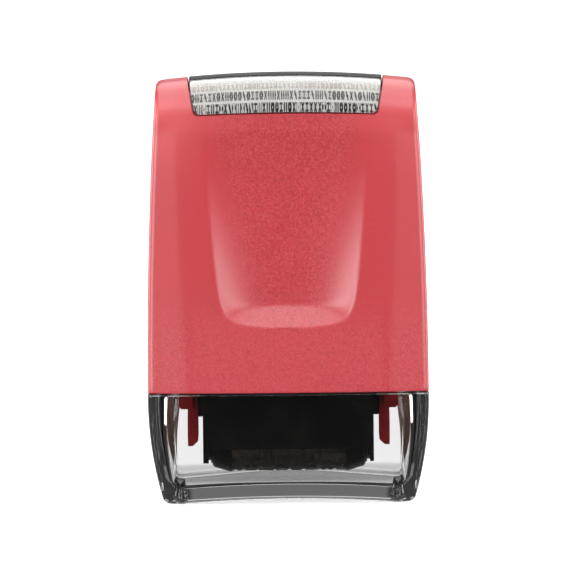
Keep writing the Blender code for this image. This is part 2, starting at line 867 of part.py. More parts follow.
def make_hubs(black, parent):
    """Tapered ends of the printing roller, plugged into its core and bored for the axle."""
    rim = SLEEVE_RADIUS
    recess_radius = bush_flange_radius + GAP
    profile = [
        (hub_start - HUB_SPIGOT, axle_hole),
        (hub_start - HUB_SPIGOT, core_bore - GAP),
        (hub_start, core_bore - GAP),
        (hub_start, rim),
        (hub_start + HUB_EDGE, rim),
        (hub_end - HUB_EDGE, rim - HUB_TAPER),
        (hub_end, rim - HUB_TAPER - HUB_EDGE),
        (hub_end, recess_radius),
        (hub_recess, recess_radius),
        (hub_recess, axle_hole),
    ]
    for side, word in ((-1, "left"), (1, "right")):
        shape = turned([(side * x, radius) for x, radius in profile], ROLLER_SEGMENTS)
        shade_round(add_object(f"stamp_{word}_hub", shape, black, parent))


def make_cartridge(black, white, metal, rubber, foam):
    cartridge = add_pivot("cartridge", (0, 0, 0))
    make_case(black, cartridge)
    make_lid(black, cartridge)
    make_plug(black, cartridge)
    make_cheeks(black, cartridge)
    make_bushes(white, cartridge)
    stamp = add_pivot("stamp_roller", (0, 0, stamp_axis))
    make_axle("stamp_axle", metal, stamp)
    make_tube("stamp_core", sleeve_end, core_bore, core_radius, white, stamp)
    make_tube("stamp_sleeve", sleeve_end, core_radius + GAP, SLEEVE_RADIUS, rubber, stamp)
    make_hubs(black, stamp)
    ink = add_pivot("ink_roller", (0, 0, ink_axis))
    make_axle("ink_axle", metal, ink)
    ink_end = flange_start - GAP
    make_tube("ink_core", ink_end, axle_hole, ink_core_radius, white, ink)
    make_tube("ink_foam", ink_end, ink_core_radius + GAP, FOAM_RADIUS, foam, ink)


# Cap


def arch_lift(x, z):
    """The underside is an arch between a flat foot at each end. It fades out up the walls."""
    foot = half_width(0) - CAP_EDGE_RADIUS - CAP_FOOT_WIDTH
    rise = CAP_ARCH_RISE * max(1 - (x / foot) ** 2, 0)
    return rise * max(1 - z / CAP_ARCH_FADE, 0)


def make_cap(smoke):
    """One wall followed round: up the outside, over the rim and the lip, down the inside."""
    rings = []
    for step in range(EDGE_STEPS + 1):
        turn = mix(0, math.pi / 2, step / EDGE_STEPS)
        inset = CAP_EDGE_RADIUS * (1 - math.sin(turn))
        rings.append(ring(CAP_EDGE_RADIUS * (1 - math.cos(turn)), inset, lift=arch_lift))
    for step in range(1, CAP_LEVELS + 1):
        rings.append(ring(mix(CAP_EDGE_RADIUS, cap_rim, step / CAP_LEVELS), lift=arch_lift))
    lip_top = cap_rim + CAP_LIP_HEIGHT
    lip_outer = HOUSING_WALL + GAP
    lip_inner = lip_outer + CAP_LIP_THICKNESS
    rings.append(ring(cap_rim, lip_outer))
    rings.append(ring(lip_top, lip_outer))
    rings.append(ring(lip_top, lip_inner))
    rings.append(ring(cap_rim - CAP_LIP_THICKNESS, lip_inner))
    wall_top = cap_rim - CAP_LIP_THICKNESS - CAP_LIP_BLEND
    inner_edge = cap_floor_top + CAP_EDGE_RADIUS
    for step in range(CAP_LEVELS):
        rings.append(ring(mix(wall_top, inner_edge, step / CAP_LEVELS), CAP_WALL))
    for step in range(EDGE_STEPS + 1):
        turn = mix(0, math.pi / 2, step / EDGE_STEPS)
        inset = CAP_WALL + CAP_EDGE_RADIUS * (1 - math.cos(turn))
        rings.append(ring(inner_edge - CAP_EDGE_RADIUS * math.sin(turn), inset))
    pivot = add_pivot("cap_slide", (0, 0, 0))
    shade_round(add_object("cap", loft(rings), smoke, pivot))


# Derived places of the fittings inside the housing
boss_levels = (seam + LOW_BOSS_RISE, plate_top + HIGH_BOSS_RISE)
plate_end = half_width(plate_top) - HOUSING_WALL - GAP
ledge_inner = plate_end - LEDGE_REACH
ledge_half_depth = TONGUE_HALF_DEPTH - LEDGE_SETBACK
ledge_levels = (plate_bottom - GAP - LEDGE_THICKNESS, plate_top + GAP)


def main():
    clear_scene()
    red = make_material("red plastic", (0.63, 0.085, 0.095), 0.42)
    black = make_material("black plastic", (0.008, 0.007, 0.007), 0.35)
    white = make_material("white plastic", (0.75, 0.74, 0.70), 0.4)
    metal = make_material("steel", (0.62, 0.61, 0.59), 0.3, metallic=1)
    rubber = make_material("inked rubber", (0.018, 0.015, 0.012), 0.55)
    foam = make_material("ink foam", (0.01, 0.01, 0.012), 0.9)
    clear = make_material("clear plastic", (0.95, 0.95, 0.95), 0.05, transmission=1)
    smoke = make_material("smoked clear plastic", (0.78, 0.77, 0.77), 0.06, transmission=1)
    silver = make_material("silver label", (0.82, 0.81, 0.78), 0.35, metallic=1)
    make_housing(red)
    make_window(clear, silver)
    make_holder(red)
    make_cartridge(black, white, metal, rubber, foam)
    make_cap(smoke)


main()
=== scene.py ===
import math

import bmesh
import bpy
from mathutils import Matrix, Vector


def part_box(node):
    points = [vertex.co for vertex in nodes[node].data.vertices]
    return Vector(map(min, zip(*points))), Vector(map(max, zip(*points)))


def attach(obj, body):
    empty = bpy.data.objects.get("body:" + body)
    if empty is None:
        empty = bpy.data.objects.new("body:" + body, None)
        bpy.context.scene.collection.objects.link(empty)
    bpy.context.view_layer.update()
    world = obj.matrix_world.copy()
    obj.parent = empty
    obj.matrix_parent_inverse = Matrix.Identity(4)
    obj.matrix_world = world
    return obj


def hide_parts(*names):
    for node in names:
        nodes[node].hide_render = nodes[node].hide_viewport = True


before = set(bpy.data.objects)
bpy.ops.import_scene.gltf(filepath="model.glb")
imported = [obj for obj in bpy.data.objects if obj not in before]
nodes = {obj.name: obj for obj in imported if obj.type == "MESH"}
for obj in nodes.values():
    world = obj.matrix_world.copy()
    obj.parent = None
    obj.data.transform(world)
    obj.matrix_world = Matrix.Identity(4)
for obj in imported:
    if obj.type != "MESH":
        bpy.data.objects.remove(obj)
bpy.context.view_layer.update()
mm = 0.001  # shapes, lamps and the camera are sized in millimetres, shaders in metres

# Places read from the frame, three of them moved a little, as the photo shows them
offCad = {"seam": -0.15, "top": 0.3, "window": 0.55}
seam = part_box("front_shell")[0].z / mm + offCad["seam"]
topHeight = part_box("front_shell")[1].z / mm + offCad["top"]
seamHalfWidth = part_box("front_shell")[1].x / mm
seamHalfDepth = -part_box("front_shell")[0].y / mm
sleeveLow, sleeveHigh = (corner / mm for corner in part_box("stamp_sleeve"))
stampAxis = (sleeveLow.z + sleeveHigh.z) / 2
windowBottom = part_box("top_window")[0].z / mm + offCad["window"]
gap = 0.3  # between neighbouring pieces
print("frame loaded,", round(topHeight, 2), "mm tall")


# Shader helpers: sums on sockets add Math nodes, and any other node comes from node()

class Wire:
    def __init__(self, paint, socket):
        self.paint = paint
        self.socket = socket

    def math(self, operation, other=0.0, third=0.0):
        values = {0: self, 1: other, 2: third}
        return self.paint.node("ShaderNodeMath", {"operation": operation}, values)

    def __add__(self, other):
        return self.math("ADD", other)

    def __sub__(self, other):
        return self.math("SUBTRACT", other)

    def __rsub__(self, other):
        return self.math("MULTIPLY_ADD", -1.0, other)

    def __mul__(self, other):
        return self.math("MULTIPLY", other)

    def __truediv__(self, other):
        return self.math("DIVIDE", other)

    __radd__ = __add__
    __rmul__ = __mul__

    def above(self, limit, soft=0.0):
        if not soft:
            return self.math("GREATER_THAN", limit)
        return self.ramp(limit - soft, limit + soft)

    def below(self, limit, soft=0.0):
        return 1 - self.above(limit, soft)

    def ramp(self, low, high, toLow=0.0, toHigh=1.0):
        values = {0: self, 1: low, 2: high, 3: toLow, 4: toHigh}
        return self.paint.node("ShaderNodeMapRange", {"interpolation_type": "SMOOTHSTEP"}, values)

    def out(self, name):
        return Wire(self.paint, self.socket.node.outputs[name])


class Tree:
    def __init__(self, tree):
        self.tree = tree

    def feed(self, socket, value):
        if isinstance(value, Wire):
            self.tree.links.new(value.socket, socket)
        elif socket.type == "RGBA" and len(value) == 3:
            socket.default_value = (*value, 1)
        else:
            socket.default_value = value

    def node(self, kind, settings=None, inputs=None):
        made = self.tree.nodes.new(kind)
        for key, value in (settings or {}).items():
            setattr(made, key, value)
        for key, value in (inputs or {}).items():
            self.feed(made.inputs[key], value)
        shown = [socket for socket in made.outputs if socket.enabled]
        return Wire(self, shown[0]) if shown else made

    def place(self, name="Object"):
        return self.node("ShaderNodeTexCoord").out(name)

    def noise(self, vector, scale, detail, roughness):
        inputs = {"Vector": vector, "Scale": scale, "Detail": detail, "Roughness": roughness}
        return self.node("ShaderNodeTexNoise", {}, inputs)

    def stretched(self, vector, scale):
        return self.node("ShaderNodeMapping", {}, {"Vector": vector, "Scale": scale})

    def blend(self, factor, first, second):
        return self.node("ShaderNodeMix", {"data_type": "RGBA"}, {0: factor, 6: first, 7: second})

    def grey(self, level):
        return self.node("ShaderNodeCombineColor", {}, {0: level, 1: level, 2: level})

    def parts(self, vector):
        made = self.node("ShaderNodeSeparateXYZ", {}, {0: vector})
        return made.out("X"), made.out("Y"), made.out("Z")

    def bump(self, height, strength, distance):
        inputs = {"Height": height, "Strength": strength, "Distance": distance}
        return self.node("ShaderNodeBump", {}, inputs)


class Paint(Tree):
    def __init__(self, name, **values):
        self.material = bpy.data.materials.new(name)
        self.material.use_nodes = True
        super().__init__(self.material.node_tree)
        self.shader = self.tree.nodes["Principled BSDF"]
        self.output = self.tree.nodes["Material Output"]
        self.set(**values)

    def set(self, **values):
        for key, value in values.items():
            self.feed(self.shader.inputs[key.replace("_", " ")], value)

    def cover(self, *names):
        for name in names:
            for place in nodes[name].material_slots:
                place.material = self.material


# Materials

redLook = {
    "colour": (0.60, 0.012, 0.025),
    "deep": (0.575, 0.010, 0.022),
    "pale": (0.66, 0.065, 0.085),
    # dark: the dark sparks' colour, and also the painted shade's
    "dark": (0.42, 0.003, 0.010),
    # paintedHighlight: a paler pink, a painted highlight on the shoulders and over the top
    "paintedHighlight": (0.80, 0.085, 0.095),
    "roughness": 0.38,
    "sparkSize": 0.00021,
    "paleSparks": (0.72, 0.5),  # the draw from which a spark is pale, and how much
    "darkSparks": (0.25, 0.6),
    "grainScale": 4600,  # per metre
    "grainDepth": 0.00009,
    "plainGrain": 0.15,
    "grainSlope": 0.18,  # half width of the finely grained middle, over its height
    "grainFrom": 0.026,
    "lowUpTo": 0.029,
    # Ramps: from and to, and the values there if they aren't 0 and 1
    "paleOut": (0.0135, 0.0155, 0.3, 0.02),
    # shadeUp and shadeOut place a painted shade over the upper middle of the face
    "shadeUp": (0.046, 0.054),
    "shadeOut": (0.008, 0.014, 0.2, 0.0),
    # Where the painted highlight lies: up the shoulders and out to the sides, stronger on the left,
    # fading at the very top
    "highlightUp": (0.048, 0.060),
    "highlightOut": (0.012, 0.0195),
    "highlightAcross": (-0.01, 0.015, 0.50, 0.25),
    "highlightEnd": (0.0612, 0.0632, 1.0, 0.0),
    "crownUp": (0.0555, 0.0595),
    "crownOut": (0.003, 0.014),
    "crownHighlight": 0.3,
}


def makeRed():
    # Satin skin: finely grained in the thumb recess and towards the seam, nearly smooth elsewhere
    look = redLook
    paint = Paint("red satin plastic", IOR=1.65, Specular_IOR_Level=1.0)
    where = paint.place()
    across, _, height = paint.parts(where)
    out = across.math("ABSOLUTE")
    inside = (out - height * look["grainSlope"]).below(0.0002, 0.0022)
    inside = inside * height.above(look["grainFrom"], 0.002)
    low = height.below(look["lowUpTo"], 0.005)
    fine = look["plainGrain"] + (1 - look["plainGrain"]) * inside.math("MAXIMUM", low * 0.8)
    broad = paint.noise(where, 60, 3, 0.6)
    grain = paint.noise(where, look["grainScale"], 2, 0.6)
    speck = paint.noise(where, look["grainScale"] * 0.6, 1, 0.5)
    size = (look["sparkSize"],) * 3
    cell = paint.node("ShaderNodeVectorMath", {"operation": "SNAP"}, {0: where, 1: size})
    spark = paint.node("ShaderNodeTexWhiteNoise", {"noise_dimensions": "3D"}, {"Vector": cell})
    body = paint.blend(broad.ramp(0.3, 0.7), look["colour"], look["deep"])
    body = paint.blend(low * out.ramp(*look["paleOut"]), body, look["pale"])
    # Painted shade: the upper middle of the face darker
    shade = height.ramp(*look["shadeUp"]) * out.ramp(*look["shadeOut"])
    body = paint.blend(shade, body, look["dark"])
    # Painted highlight: paler pink on the shoulders and over the top
    paintedHighlight = height.ramp(*look["highlightUp"]) * out.ramp(*look["highlightOut"])
    paintedHighlight = paintedHighlight * across.ramp(*look["highlightAcross"]) * height.ramp(*look["highlightEnd"])
    crown = height.ramp(*look["crownUp"]) * out.ramp(*look["crownOut"])
    body = paint.blend(paintedHighlight + crown * look["crownHighlight"], body, look["paintedHighlight"])
    paleFrom, paleShare = look["paleSparks"]
    darkUpTo, darkShare = look["darkSparks"]
    body = paint.blend(spark.above(paleFrom) * fine * paleShare, body, look["pale"])
    body = paint.blend(spark.below(darkUpTo) * fine * darkShare, body, look["dark"])
    body = paint.blend(speck.ramp(0.46, 0.74) * fine * 0.3, body, look["pale"])
    rough = look["roughness"] + 0.08 * fine * (grain - 0.5) + 0.06 * (broad - 0.5)
    normal = paint.bump((grain * 0.6 + speck * 0.4) * fine, 0.4, look["grainDepth"])
    paint.set(Base_Color=body, Roughness=rough, Normal=normal)
    return paint


# Cartridge holder: the housing's red plastic in a darker copy, painted shade for the holder deep
# inside the stamp
shadedRedLook = {"colour": (0.30, 0.014, 0.014), "shade": (0.24, 0.010, 0.010), "roughness": 0.36}


def makeShadedRed():
    paint = Paint("red plastic painted in shade", Specular_IOR_Level=0.15)
    where = paint.place()
    broad = paint.noise(where, 180, 3, 0.6)
    grain = paint.noise(where, 3600, 2, 0.6)
    body = paint.blend(broad.ramp(0.3, 0.7), shadedRedLook["colour"], shadedRedLook["shade"])
    rough = shadedRedLook["roughness"] + 0.12 * (broad - 0.5) + 0.06 * (grain - 0.5)
    paint.set(Base_Color=body, Roughness=rough, Normal=paint.bump(grain, 0.2, 0.00002))
    return paint


blackLook = {
    "colour": (0.005, 0.0042, 0.0042),
    "smudge": (0.012, 0.0105, 0.010),
    "roughness": 0.36,
}


def makeBlack():
    paint = Paint("black moulded plastic", Specular_IOR_Level=0.15)
    where = paint.place()
    smudge = paint.noise(where, 140, 4, 0.6)
    streak = paint.noise(paint.stretched(where, (60, 900, 900)), 1, 3, 0.55)
    grain = paint.noise(where, 4200, 2, 0.5)
    body = paint.blend(smudge.ramp(0.45, 0.75), blackLook["colour"], blackLook["smudge"])
    rough = blackLook["roughness"] + 0.18 * (smudge - 0.5) + 0.08 * (streak - 0.5)
    normal = paint.bump(grain * 0.5 + streak * 0.5, 0.25, 0.00003)
    paint.set(Base_Color=body, Roughness=rough, Normal=normal)
    return paint


whiteLook = {"colour": (0.74, 0.73, 0.69), "cloud": (0.66, 0.65, 0.60), "roughness": 0.36}


def makeWhite():
    paint = Paint("natural bearing plastic", IOR=1.48)
    where = paint.place()
    cloud = paint.noise(where, 300, 3, 0.5)
    grain = paint.noise(where, 5000, 2, 0.5)
    body = paint.blend(cloud.ramp(0.35, 0.7), whiteLook["colour"], whiteLook["cloud"])
    rough = whiteLook["roughness"] + 0.14 * cloud
    paint.set(Base_Color=body, Roughness=rough, Normal=paint.bump(grain, 0.2, 0.00002))
    return paint


steelLook = {"colour": (0.62, 0.61, 0.59), "line": (0.50, 0.49, 0.47), "roughness": 0.22}


def makeSteel():
    paint = Paint("drawn steel", Metallic=1.0)
    drawn = paint.noise(paint.stretched(paint.place(), (250, 9000, 9000)), 1, 3, 0.6)
    body = paint.blend(drawn.ramp(0.3, 0.7), steelLook["colour"], steelLook["line"])
    rough = steelLook["roughness"] + 0.2 * drawn
    paint.set(Base_Color=body, Roughness=rough, Normal=paint.bump(drawn, 0.2, 0.00001))
    return paint


rubberLook = {
    "colour": (0.017, 0.0145, 0.0115),
    "streak": (0.050, 0.041, 0.029),
    "roughness": 0.46,
    "wetness": 0.22,
}


def makeRubber():
    paint = Paint("inked rubber", Specular_IOR_Level=0.25)
    where = paint.place()
    streak = paint.noise(paint.stretched(where, (55, 900, 900)), 1, 4, 0.6)
    wet = paint.noise(where, 420, 3, 0.6)
    body = paint.blend(streak.ramp(0.4, 0.65), rubberLook["colour"], rubberLook["streak"])
    rough = rubberLook["roughness"] - rubberLook["wetness"] * wet.ramp(0.45, 0.7)
    normal = paint.bump(wet * 0.4 + streak * 0.6, 0.3, 0.00004)
    paint.set(Base_Color=body, Roughness=rough, Normal=normal)
    return paint


foamLook = {
    "colour": (0.016, 0.016, 0.02),
    "cell": (0.004, 0.004, 0.006),
    "cellScale": 1900,  # per metre
    "roughness": 0.75,
    "wetness": 0.35,
}


def makeFoam():
    paint = Paint("ink soaked foam", Specular_IOR_Level=0.5)
    where = paint.place()
    inputs = {"Vector": where, "Scale": foamLook["cellScale"]}
    cells = paint.node("ShaderNodeTexVoronoi", {"feature": "F1"}, inputs)
    damp = paint.noise(where, 500, 3, 0.6)
    body = paint.blend(cells.ramp(0.2, 0.7), foamLook["colour"], foamLook["cell"])
    rough = foamLook["roughness"] - foamLook["wetness"] * damp.ramp(0.45, 0.7)
    paint.set(Base_Color=body, Roughness=rough, Normal=paint.bump(1 - cells, 0.8, 0.00015))
    return paint


smokeLook = {
    "tint": (1.0, 1.0, 1.0),
    "colour": (0.5, 0.49, 0.49),
    "density": 10.0,
    # pipShadeDensity: far denser smoke for the pips, painted shade
    "pipShadeDensity": 1500.0,
    "roughness": 0.0,
    "haze": 0.02,
}


def makeSmoke(name, density):
    paint = Paint(name, Transmission_Weight=1.0, IOR=1.49, Base_Color=smokeLook["tint"])
    haze = paint.noise(paint.place(), 220, 3, 0.6).ramp(0.5, 0.8)
    paint.set(Roughness=smokeLook["roughness"] + smokeLook["haze"] * haze)
    inputs = {"Color": smokeLook["colour"], "Density": density}
    smoke = paint.node("ShaderNodeVolumeAbsorption", {}, inputs)
    paint.feed(paint.output.inputs["Volume"], smoke)
    return paint


clearLook = {"tint": (0.97, 0.97, 0.965), "haze": 0.012}


def makeClear():
    tint = clearLook["tint"]
    paint = Paint("clear window plastic", Transmission_Weight=1.0, IOR=1.46, Base_Color=tint)
    haze = paint.noise(paint.place(), 500, 3, 0.6)
    paint.set(Roughness=clearLook["haze"] * haze.ramp(0.5, 0.8))
    return paint


labelLook = {
    "silver": (0.49, 0.48, 0.45),
    "bright": (0.70, 0.685, 0.65),
    # crown: darker silver over the top of the label, a painted dark reflection
    "crown": (0.125, 0.118, 0.100),
    "dull": (0.98, 0.95, 0.92),
    "ink": (0.010, 0.009, 0.010),
    "faint": (0.38, 0.35, 0.30),
    "rowPitch": 1.96,
    "rowStart": 0.91,
    "markPitch": 0.66,
    "rowShift": 0.37,
    "kinds": (0.26, 0.44, 0.60, 0.80),  # draws up to which a mark is a ring, bars, slash or chevron
    "ring": 0.21,  # half widths of the strokes, as shares of a mark
    "bar": 0.15,
    "slash": 0.19,
    "chevron": 0.16,
    "softness": 0.03,
    "markHalf": 0.40,  # half height of a mark in its row
    "crownFade": (4.0, 5.9),  # mm over the top from its middle, as the next four are
    "faintFrom": 4.85,
    "boldFrom": 6.79,
    "turnFrom": 8.75,  # from here on some marks are light on black
    "dullTo": 9.6,
    "turnShare": 0.3,
}


def makeLabel():
    # Rows of made-up marks: rings, bars, slashes, chevrons and beams, as a masking print has
    look = labelLook
    paint = Paint("printed silver label", Metallic=1.0, Specular_IOR_Level=0.5)
    across, along, _ = paint.parts(paint.node("ShaderNodeUVMap", {"uv_map": "printMap"}))
    far = along.math("ABSOLUTE")
    rowPlace = (far - look["rowStart"]) / look["rowPitch"]
    row = rowPlace.math("FLOOR")
    line = row + along.above(0.0) * 40.0  # other marks in front than behind
    shifted = across / look["markPitch"] + line * look["rowShift"]
    cell = shifted.math("FLOOR")
    signed = shifted - cell - 0.5
    x = signed.math("ABSOLUTE")
    y = rowPlace - row - 0.5
    tall = y.math("ABSOLUTE")
    spot = paint.node("ShaderNodeCombineXYZ", {}, {0: cell, 1: line})
    pick = paint.node("ShaderNodeTexWhiteNoise", {"noise_dimensions": "2D"}, {"Vector": spot})
    soft = look["softness"]
    hoop = ((x * x) * 1.5 + (y * y) * 0.9).math("SQRT")
    ring = (hoop - 0.31).math("ABSOLUTE").below(look["ring"], soft)
    bars = (x - 0.24).math("ABSOLUTE").below(look["bar"], soft)
    slash = (signed - y * 0.55).math("ABSOLUTE").below(look["slash"], soft)
    chevron = (x - tall * 0.75 + 0.02).math("ABSOLUTE").below(look["chevron"], soft)
    beams = (tall - 0.28).math("ABSOLUTE").below(0.09, 0.02) + x.below(0.12, soft)
    beams = beams.math("MINIMUM", 1.0) * x.below(0.38, soft)
    toRing, toBars, toSlash, toChevron = look["kinds"]
    mark = ring * pick.below(toRing)
    mark = mark + bars * pick.above(toRing) * pick.below(toBars)
    mark = mark + slash * pick.above(toBars) * pick.below(toSlash)
    mark = mark + chevron * pick.above(toSlash) * pick.below(toChevron)
    mark = mark + beams * pick.above(toChevron)
    turnFrom = look["turnFrom"]
    turned = (pick * 7.31).math("FRACT").below(look["turnShare"]) * far.above(turnFrom)
    mark = (mark - turned).math("ABSOLUTE") * tall.below(look["markHalf"], 0.02)
    where = paint.place()
    worn = paint.noise(where, 900, 3, 0.6).ramp(0.3, 0.55, 0.8, 1.0)
    bold = far.above(look["boldFrom"], 0.05)
    printed = mark * worn * far.above(look["faintFrom"], 0.05)
    brush = paint.noise(paint.stretched(where, (350, 5000, 5000)), 1, 3, 0.6)
    silver = paint.blend(brush.ramp(0.3, 0.7) * 0.4, look["silver"], look["bright"])
    # Painted reflection: the silver darkens over the crown
    silver = paint.blend(far.ramp(*look["crownFade"]), look["crown"], silver)
    silver = paint.blend(far.ramp(turnFrom - 0.3, look["dullTo"], 0.0, 0.9), silver, look["dull"])
    ink = paint.blend(bold, look["faint"], look["ink"])
    metal = (1 - printed * bold) * far.ramp(turnFrom - 0.4, turnFrom + 0.4, 1.0, 0.1)
    rough = 0.30 + 0.10 * brush + 0.15 * printed
    normal = paint.bump(brush, 0.1, 0.00002)
    colour = paint.blend(printed, silver, ink)
    paint.set(Base_Color=colour, Metallic=metal, Roughness=rough, Normal=normal)
    return paint


red = makeRed()
shadedRed = makeShadedRed()
black = makeBlack()
white = makeWhite()
steel = makeSteel()
rubber = makeRubber()
foam = makeFoam()
smoke = makeSmoke("smoked clear plastic", smokeLook["density"])
pipShadeSmoke = makeSmoke("cap smoke darkened as painted shade", smokeLook["pipShadeDensity"])
clear = makeClear()
label = makeLabel()
red.cover("front_shell", "rear_shell")
shadedRed.cover("cartridge_holder")
black.cover("cartridge_case", "cartridge_lid", "filler_plug", "left_cheek", "right_cheek")
black.cover("stamp_left_hub", "stamp_right_hub")
white.cover("stamp_left_bush", "stamp_right_bush", "ink_left_bush", "ink_right_bush")
white.cover("stamp_core", "ink_core")
steel.cover("stamp_axle", "ink_axle")
rubber.cover("stamp_sleeve")
foam.cover("ink_foam")
smoke.cover("cap")
clear.cover("top_window")
label.cover("pattern_label")
print("materials made")


# Shape helpers, all in millimetres

mergeReach = 0.0004  # points this close are one


def ease(share):
    share = min(max(share, 0), 1)
    return share * share * (3 - 2 * share)


def mix(start, end, share):
    return start + (end - start) * share


def steps(count, start=0.0, end=1.0):
    return [mix(start, end, step / count) for step in range(count)]


def gridForm(columns, rows, place):
    # A grid whose points are moved to place(column, row); edges that meet are merged
    form = bmesh.new()
    bmesh.ops.create_grid(form, x_segments=columns, y_segments=rows, size=1)
    for point in form.verts:
        column = round((point.co.x + 1) / 2 * columns)
        row = round((point.co.y + 1) / 2 * rows)
        point.co = place(column, row) * mm
    bmesh.ops.remove_doubles(form, verts=form.verts, dist=mergeReach * mm)
    bmesh.ops.dissolve_degenerate(form, edges=form.edges, dist=mergeReach * mm)
    return form


def closeEnds(form):
    rims = [edge for edge in form.edges if edge.is_boundary]
    bmesh.ops.holes_fill(form, edges=rims, sides=0)
    return form


def roundEdges(form, reach):
    edges = form.edges[:]
    bmesh.ops.bevel(
        form, geom=edges, offset=reach * mm, affect="EDGES", segments=2, profile=0.5, material=-1
    )
    return form


def meshFrom(form, name):
    mesh = bpy.data.meshes.new(name)
    form.to_mesh(mesh)
    form.free()
    return mesh


def addObject(name, data):
    made = bpy.data.objects.new(name, data)
    bpy.context.scene.collection.objects.link(made)
    return made


def shadeSmooth(mesh, sharpAngle=35):
    mesh.shade_smooth()
    mesh.set_sharp_from_angle(angle=math.radians(sharpAngle))


def makePiece(name, form, paint, body, replaced=(), sharpAngle=35):
    bmesh.ops.recalc_face_normals(form, faces=form.faces)
    mesh = meshFrom(form, name)
    shadeSmooth(mesh, sharpAngle)
    piece = addObject(name, mesh)
    mesh.materials.append(paint.material)
    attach(piece, body)
    if replaced:
        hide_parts(*replaced)
    return piece


def applyModifiers(piece):
    graph = bpy.context.evaluated_depsgraph_get()
    mesh = bpy.data.meshes.new_from_object(piece.evaluated_get(graph))
    piece.modifiers.clear()
    old = piece.data
    piece.data = mesh
    bpy.data.meshes.remove(old)
    shadeSmooth(mesh)


# The outer form, shared by the housing and the cap: the CAD's own form, sampled more finely

bodySizes = {
    "wall": 1.5,
    "topRounding": 6.3,
    "topFlatHalf": 2.55,
    "topCorner": 1.1,
    "crownRadius": 178.6,
    "crownFade": 12.0,
    "sideTaper": 1.65,
    "faceCrown": 0.35,
    "topCrown": 0.6,
    "crownRise": 14.0,
    "seamBand": 6.3,
    "topBand": 3.0,
    "creaseDegrees": 7.0,
    "creaseFade": 3.6,
    "bandShare": 0.45,  # of the stops between crease and side that lie on the flat band
    "cornerReach": 0.9,
    "edge": 0.16,
    "seatDepth": 1.95,
    "cavityRounding": 3.05,
    "cavityTaper": 4.0,
    "recessBacking": 1.3,
}
recessSizes = {
    "rise": 10.05,
    "height": 29.9,
    "depth": 2.3,
    "lowHalf": 10.0,
    "topHalf": 12.8,
    "bow": 0.4,
    "sag": 0.9,
    "ledge": 3.3,
    "ledgeShare": 0.8,
    "ledgeBend": 1.25,
    "scoop": 2.5,  # 2 gives a plain hollow, more makes its edges steeper
    "cornerBlend": 3.7,
    "rising": 0.8,  # under 1 keeps its upper part deeper
}
capSizes = {
    "sideTaper": 2.4,
    "sideBow": 0.08,
    "depthTaper": 1.6,
    "bottomBand": 4.85,
    "edge": 1.0,
    "archRise": 0.65,
    "archFade": 5.0,
    "footWidth": 2.1,
    "floor": 1.75,
    "wall": 2.13,
    "lipThickness": 0.33,
    "lipHeight": 1.6,
    "innerCorner": 1.3,
    "innerReach": 3.4,  # how far the rounding inside the upright corners reaches at the seam
    "lowReach": 0.9,
    "wallThinning": 0.23,
    "thinningHeight": 8.0,
    "rimEdge": 0.15,
    "columns": (44, 34, 18),  # on half a face, a flat band and half a side
}
topFlat, topRound = bodySizes["topFlatHalf"], bodySizes["topRounding"]
roundHeight = topHeight - topRound
faceReach = math.hypot(seamHalfDepth - topFlat, roundHeight - seam)
faceSlant = math.atan2(seam - roundHeight, seamHalfDepth - topFlat)
wallLean = faceSlant + math.acos(topRound / faceReach)
shoulder = roundHeight + topRound * math.sin(wallLean)
shoulderHalfDepth = topFlat + topRound * math.cos(wallLean)
recessFoot = seam + recessSizes["rise"]
recessTop = recessFoot + recessSizes["height"]


def halfWidth(z):
    if z < seam:
        share = (seam - z) / seam
        bow = 4 * capSizes["sideBow"] * share * (1 - share)
        return seamHalfWidth - capSizes["sideTaper"] * share**2 + bow
    width = seamHalfWidth - bodySizes["sideTaper"] * ((z - seam) / (topHeight - seam)) ** 2
    corner = bodySizes["topCorner"]
    rise = max(z - (topHeight - corner), 0)
    return width - corner + math.sqrt(max(corner**2 - rise**2, 0))


def halfDepth(z):
    if z < seam:
        return seamHalfDepth - capSizes["depthTaper"] * ((seam - z) / seam) ** 2
    if z < shoulder:
        return shoulderHalfDepth + (shoulder - z) * math.tan(wallLean)
    rise = z - roundHeight
    return topFlat + math.sqrt(max(topRound**2 - rise**2, 0))


def sideBand(z):
    if z < seam:
        return mix(capSizes["bottomBand"], bodySizes["seamBand"], z / seam)
    return mix(bodySizes["seamBand"], bodySizes["topBand"], (z - seam) / (topHeight - seam))


def creaseAngle(z):
    return math.radians(bodySizes["creaseDegrees"]) * ease((shoulder - z) / bodySizes["creaseFade"])


def crownDrop(x, z):
    share = ease((z - topHeight + bodySizes["crownFade"]) / bodySizes["crownFade"])
    return share * x * x / (2 * bodySizes["crownRadius"])


def faceCrown(z):
    rise = bodySizes["crownRise"]
    return mix(bodySizes["faceCrown"], bodySizes["topCrown"], ease((z - shoulder + rise) / rise))


def sectionPoint(z, stop, inset=0.0, depth=None, end=0.0, reach=bodySizes["cornerReach"]):
    # stop is 0 in the middle of the face, 1 at the crease, 2 where the side begins and 3 at its end
    width = halfWidth(z) - inset
    depth = halfDepth(z) - inset if depth is None else depth
    angle = creaseAngle(z)
    crease = halfWidth(z) - sideBand(z) - inset * math.tan(angle / 2)
    crown = faceCrown(z)
    side, stop = math.copysign(1, stop), abs(stop)
    if stop <= 1:
        return side * crease * stop, crown * stop * stop - depth
    start = Vector((crease, crown - depth))
    knee = Vector((width, start.y + math.tan(angle) * (width - crease)))
    corner = Vector((width, knee.y + reach))
    bend = start.lerp(knee, 1 - min(reach / (width - crease), 1))
    band = bodySizes["bandShare"]
    if stop <= 1 + band:
        point = start.lerp(bend, (stop - 1) / band)
        return side * point.x, point.y
    if stop <= 2:
        share = (stop - 1 - band) / (1 - band)
        point = bend.lerp(knee, share).lerp(knee.lerp(corner, share), share)
        return side * point.x, point.y
    return side * width, mix(corner.y, end, stop - 2)


# Housing shells

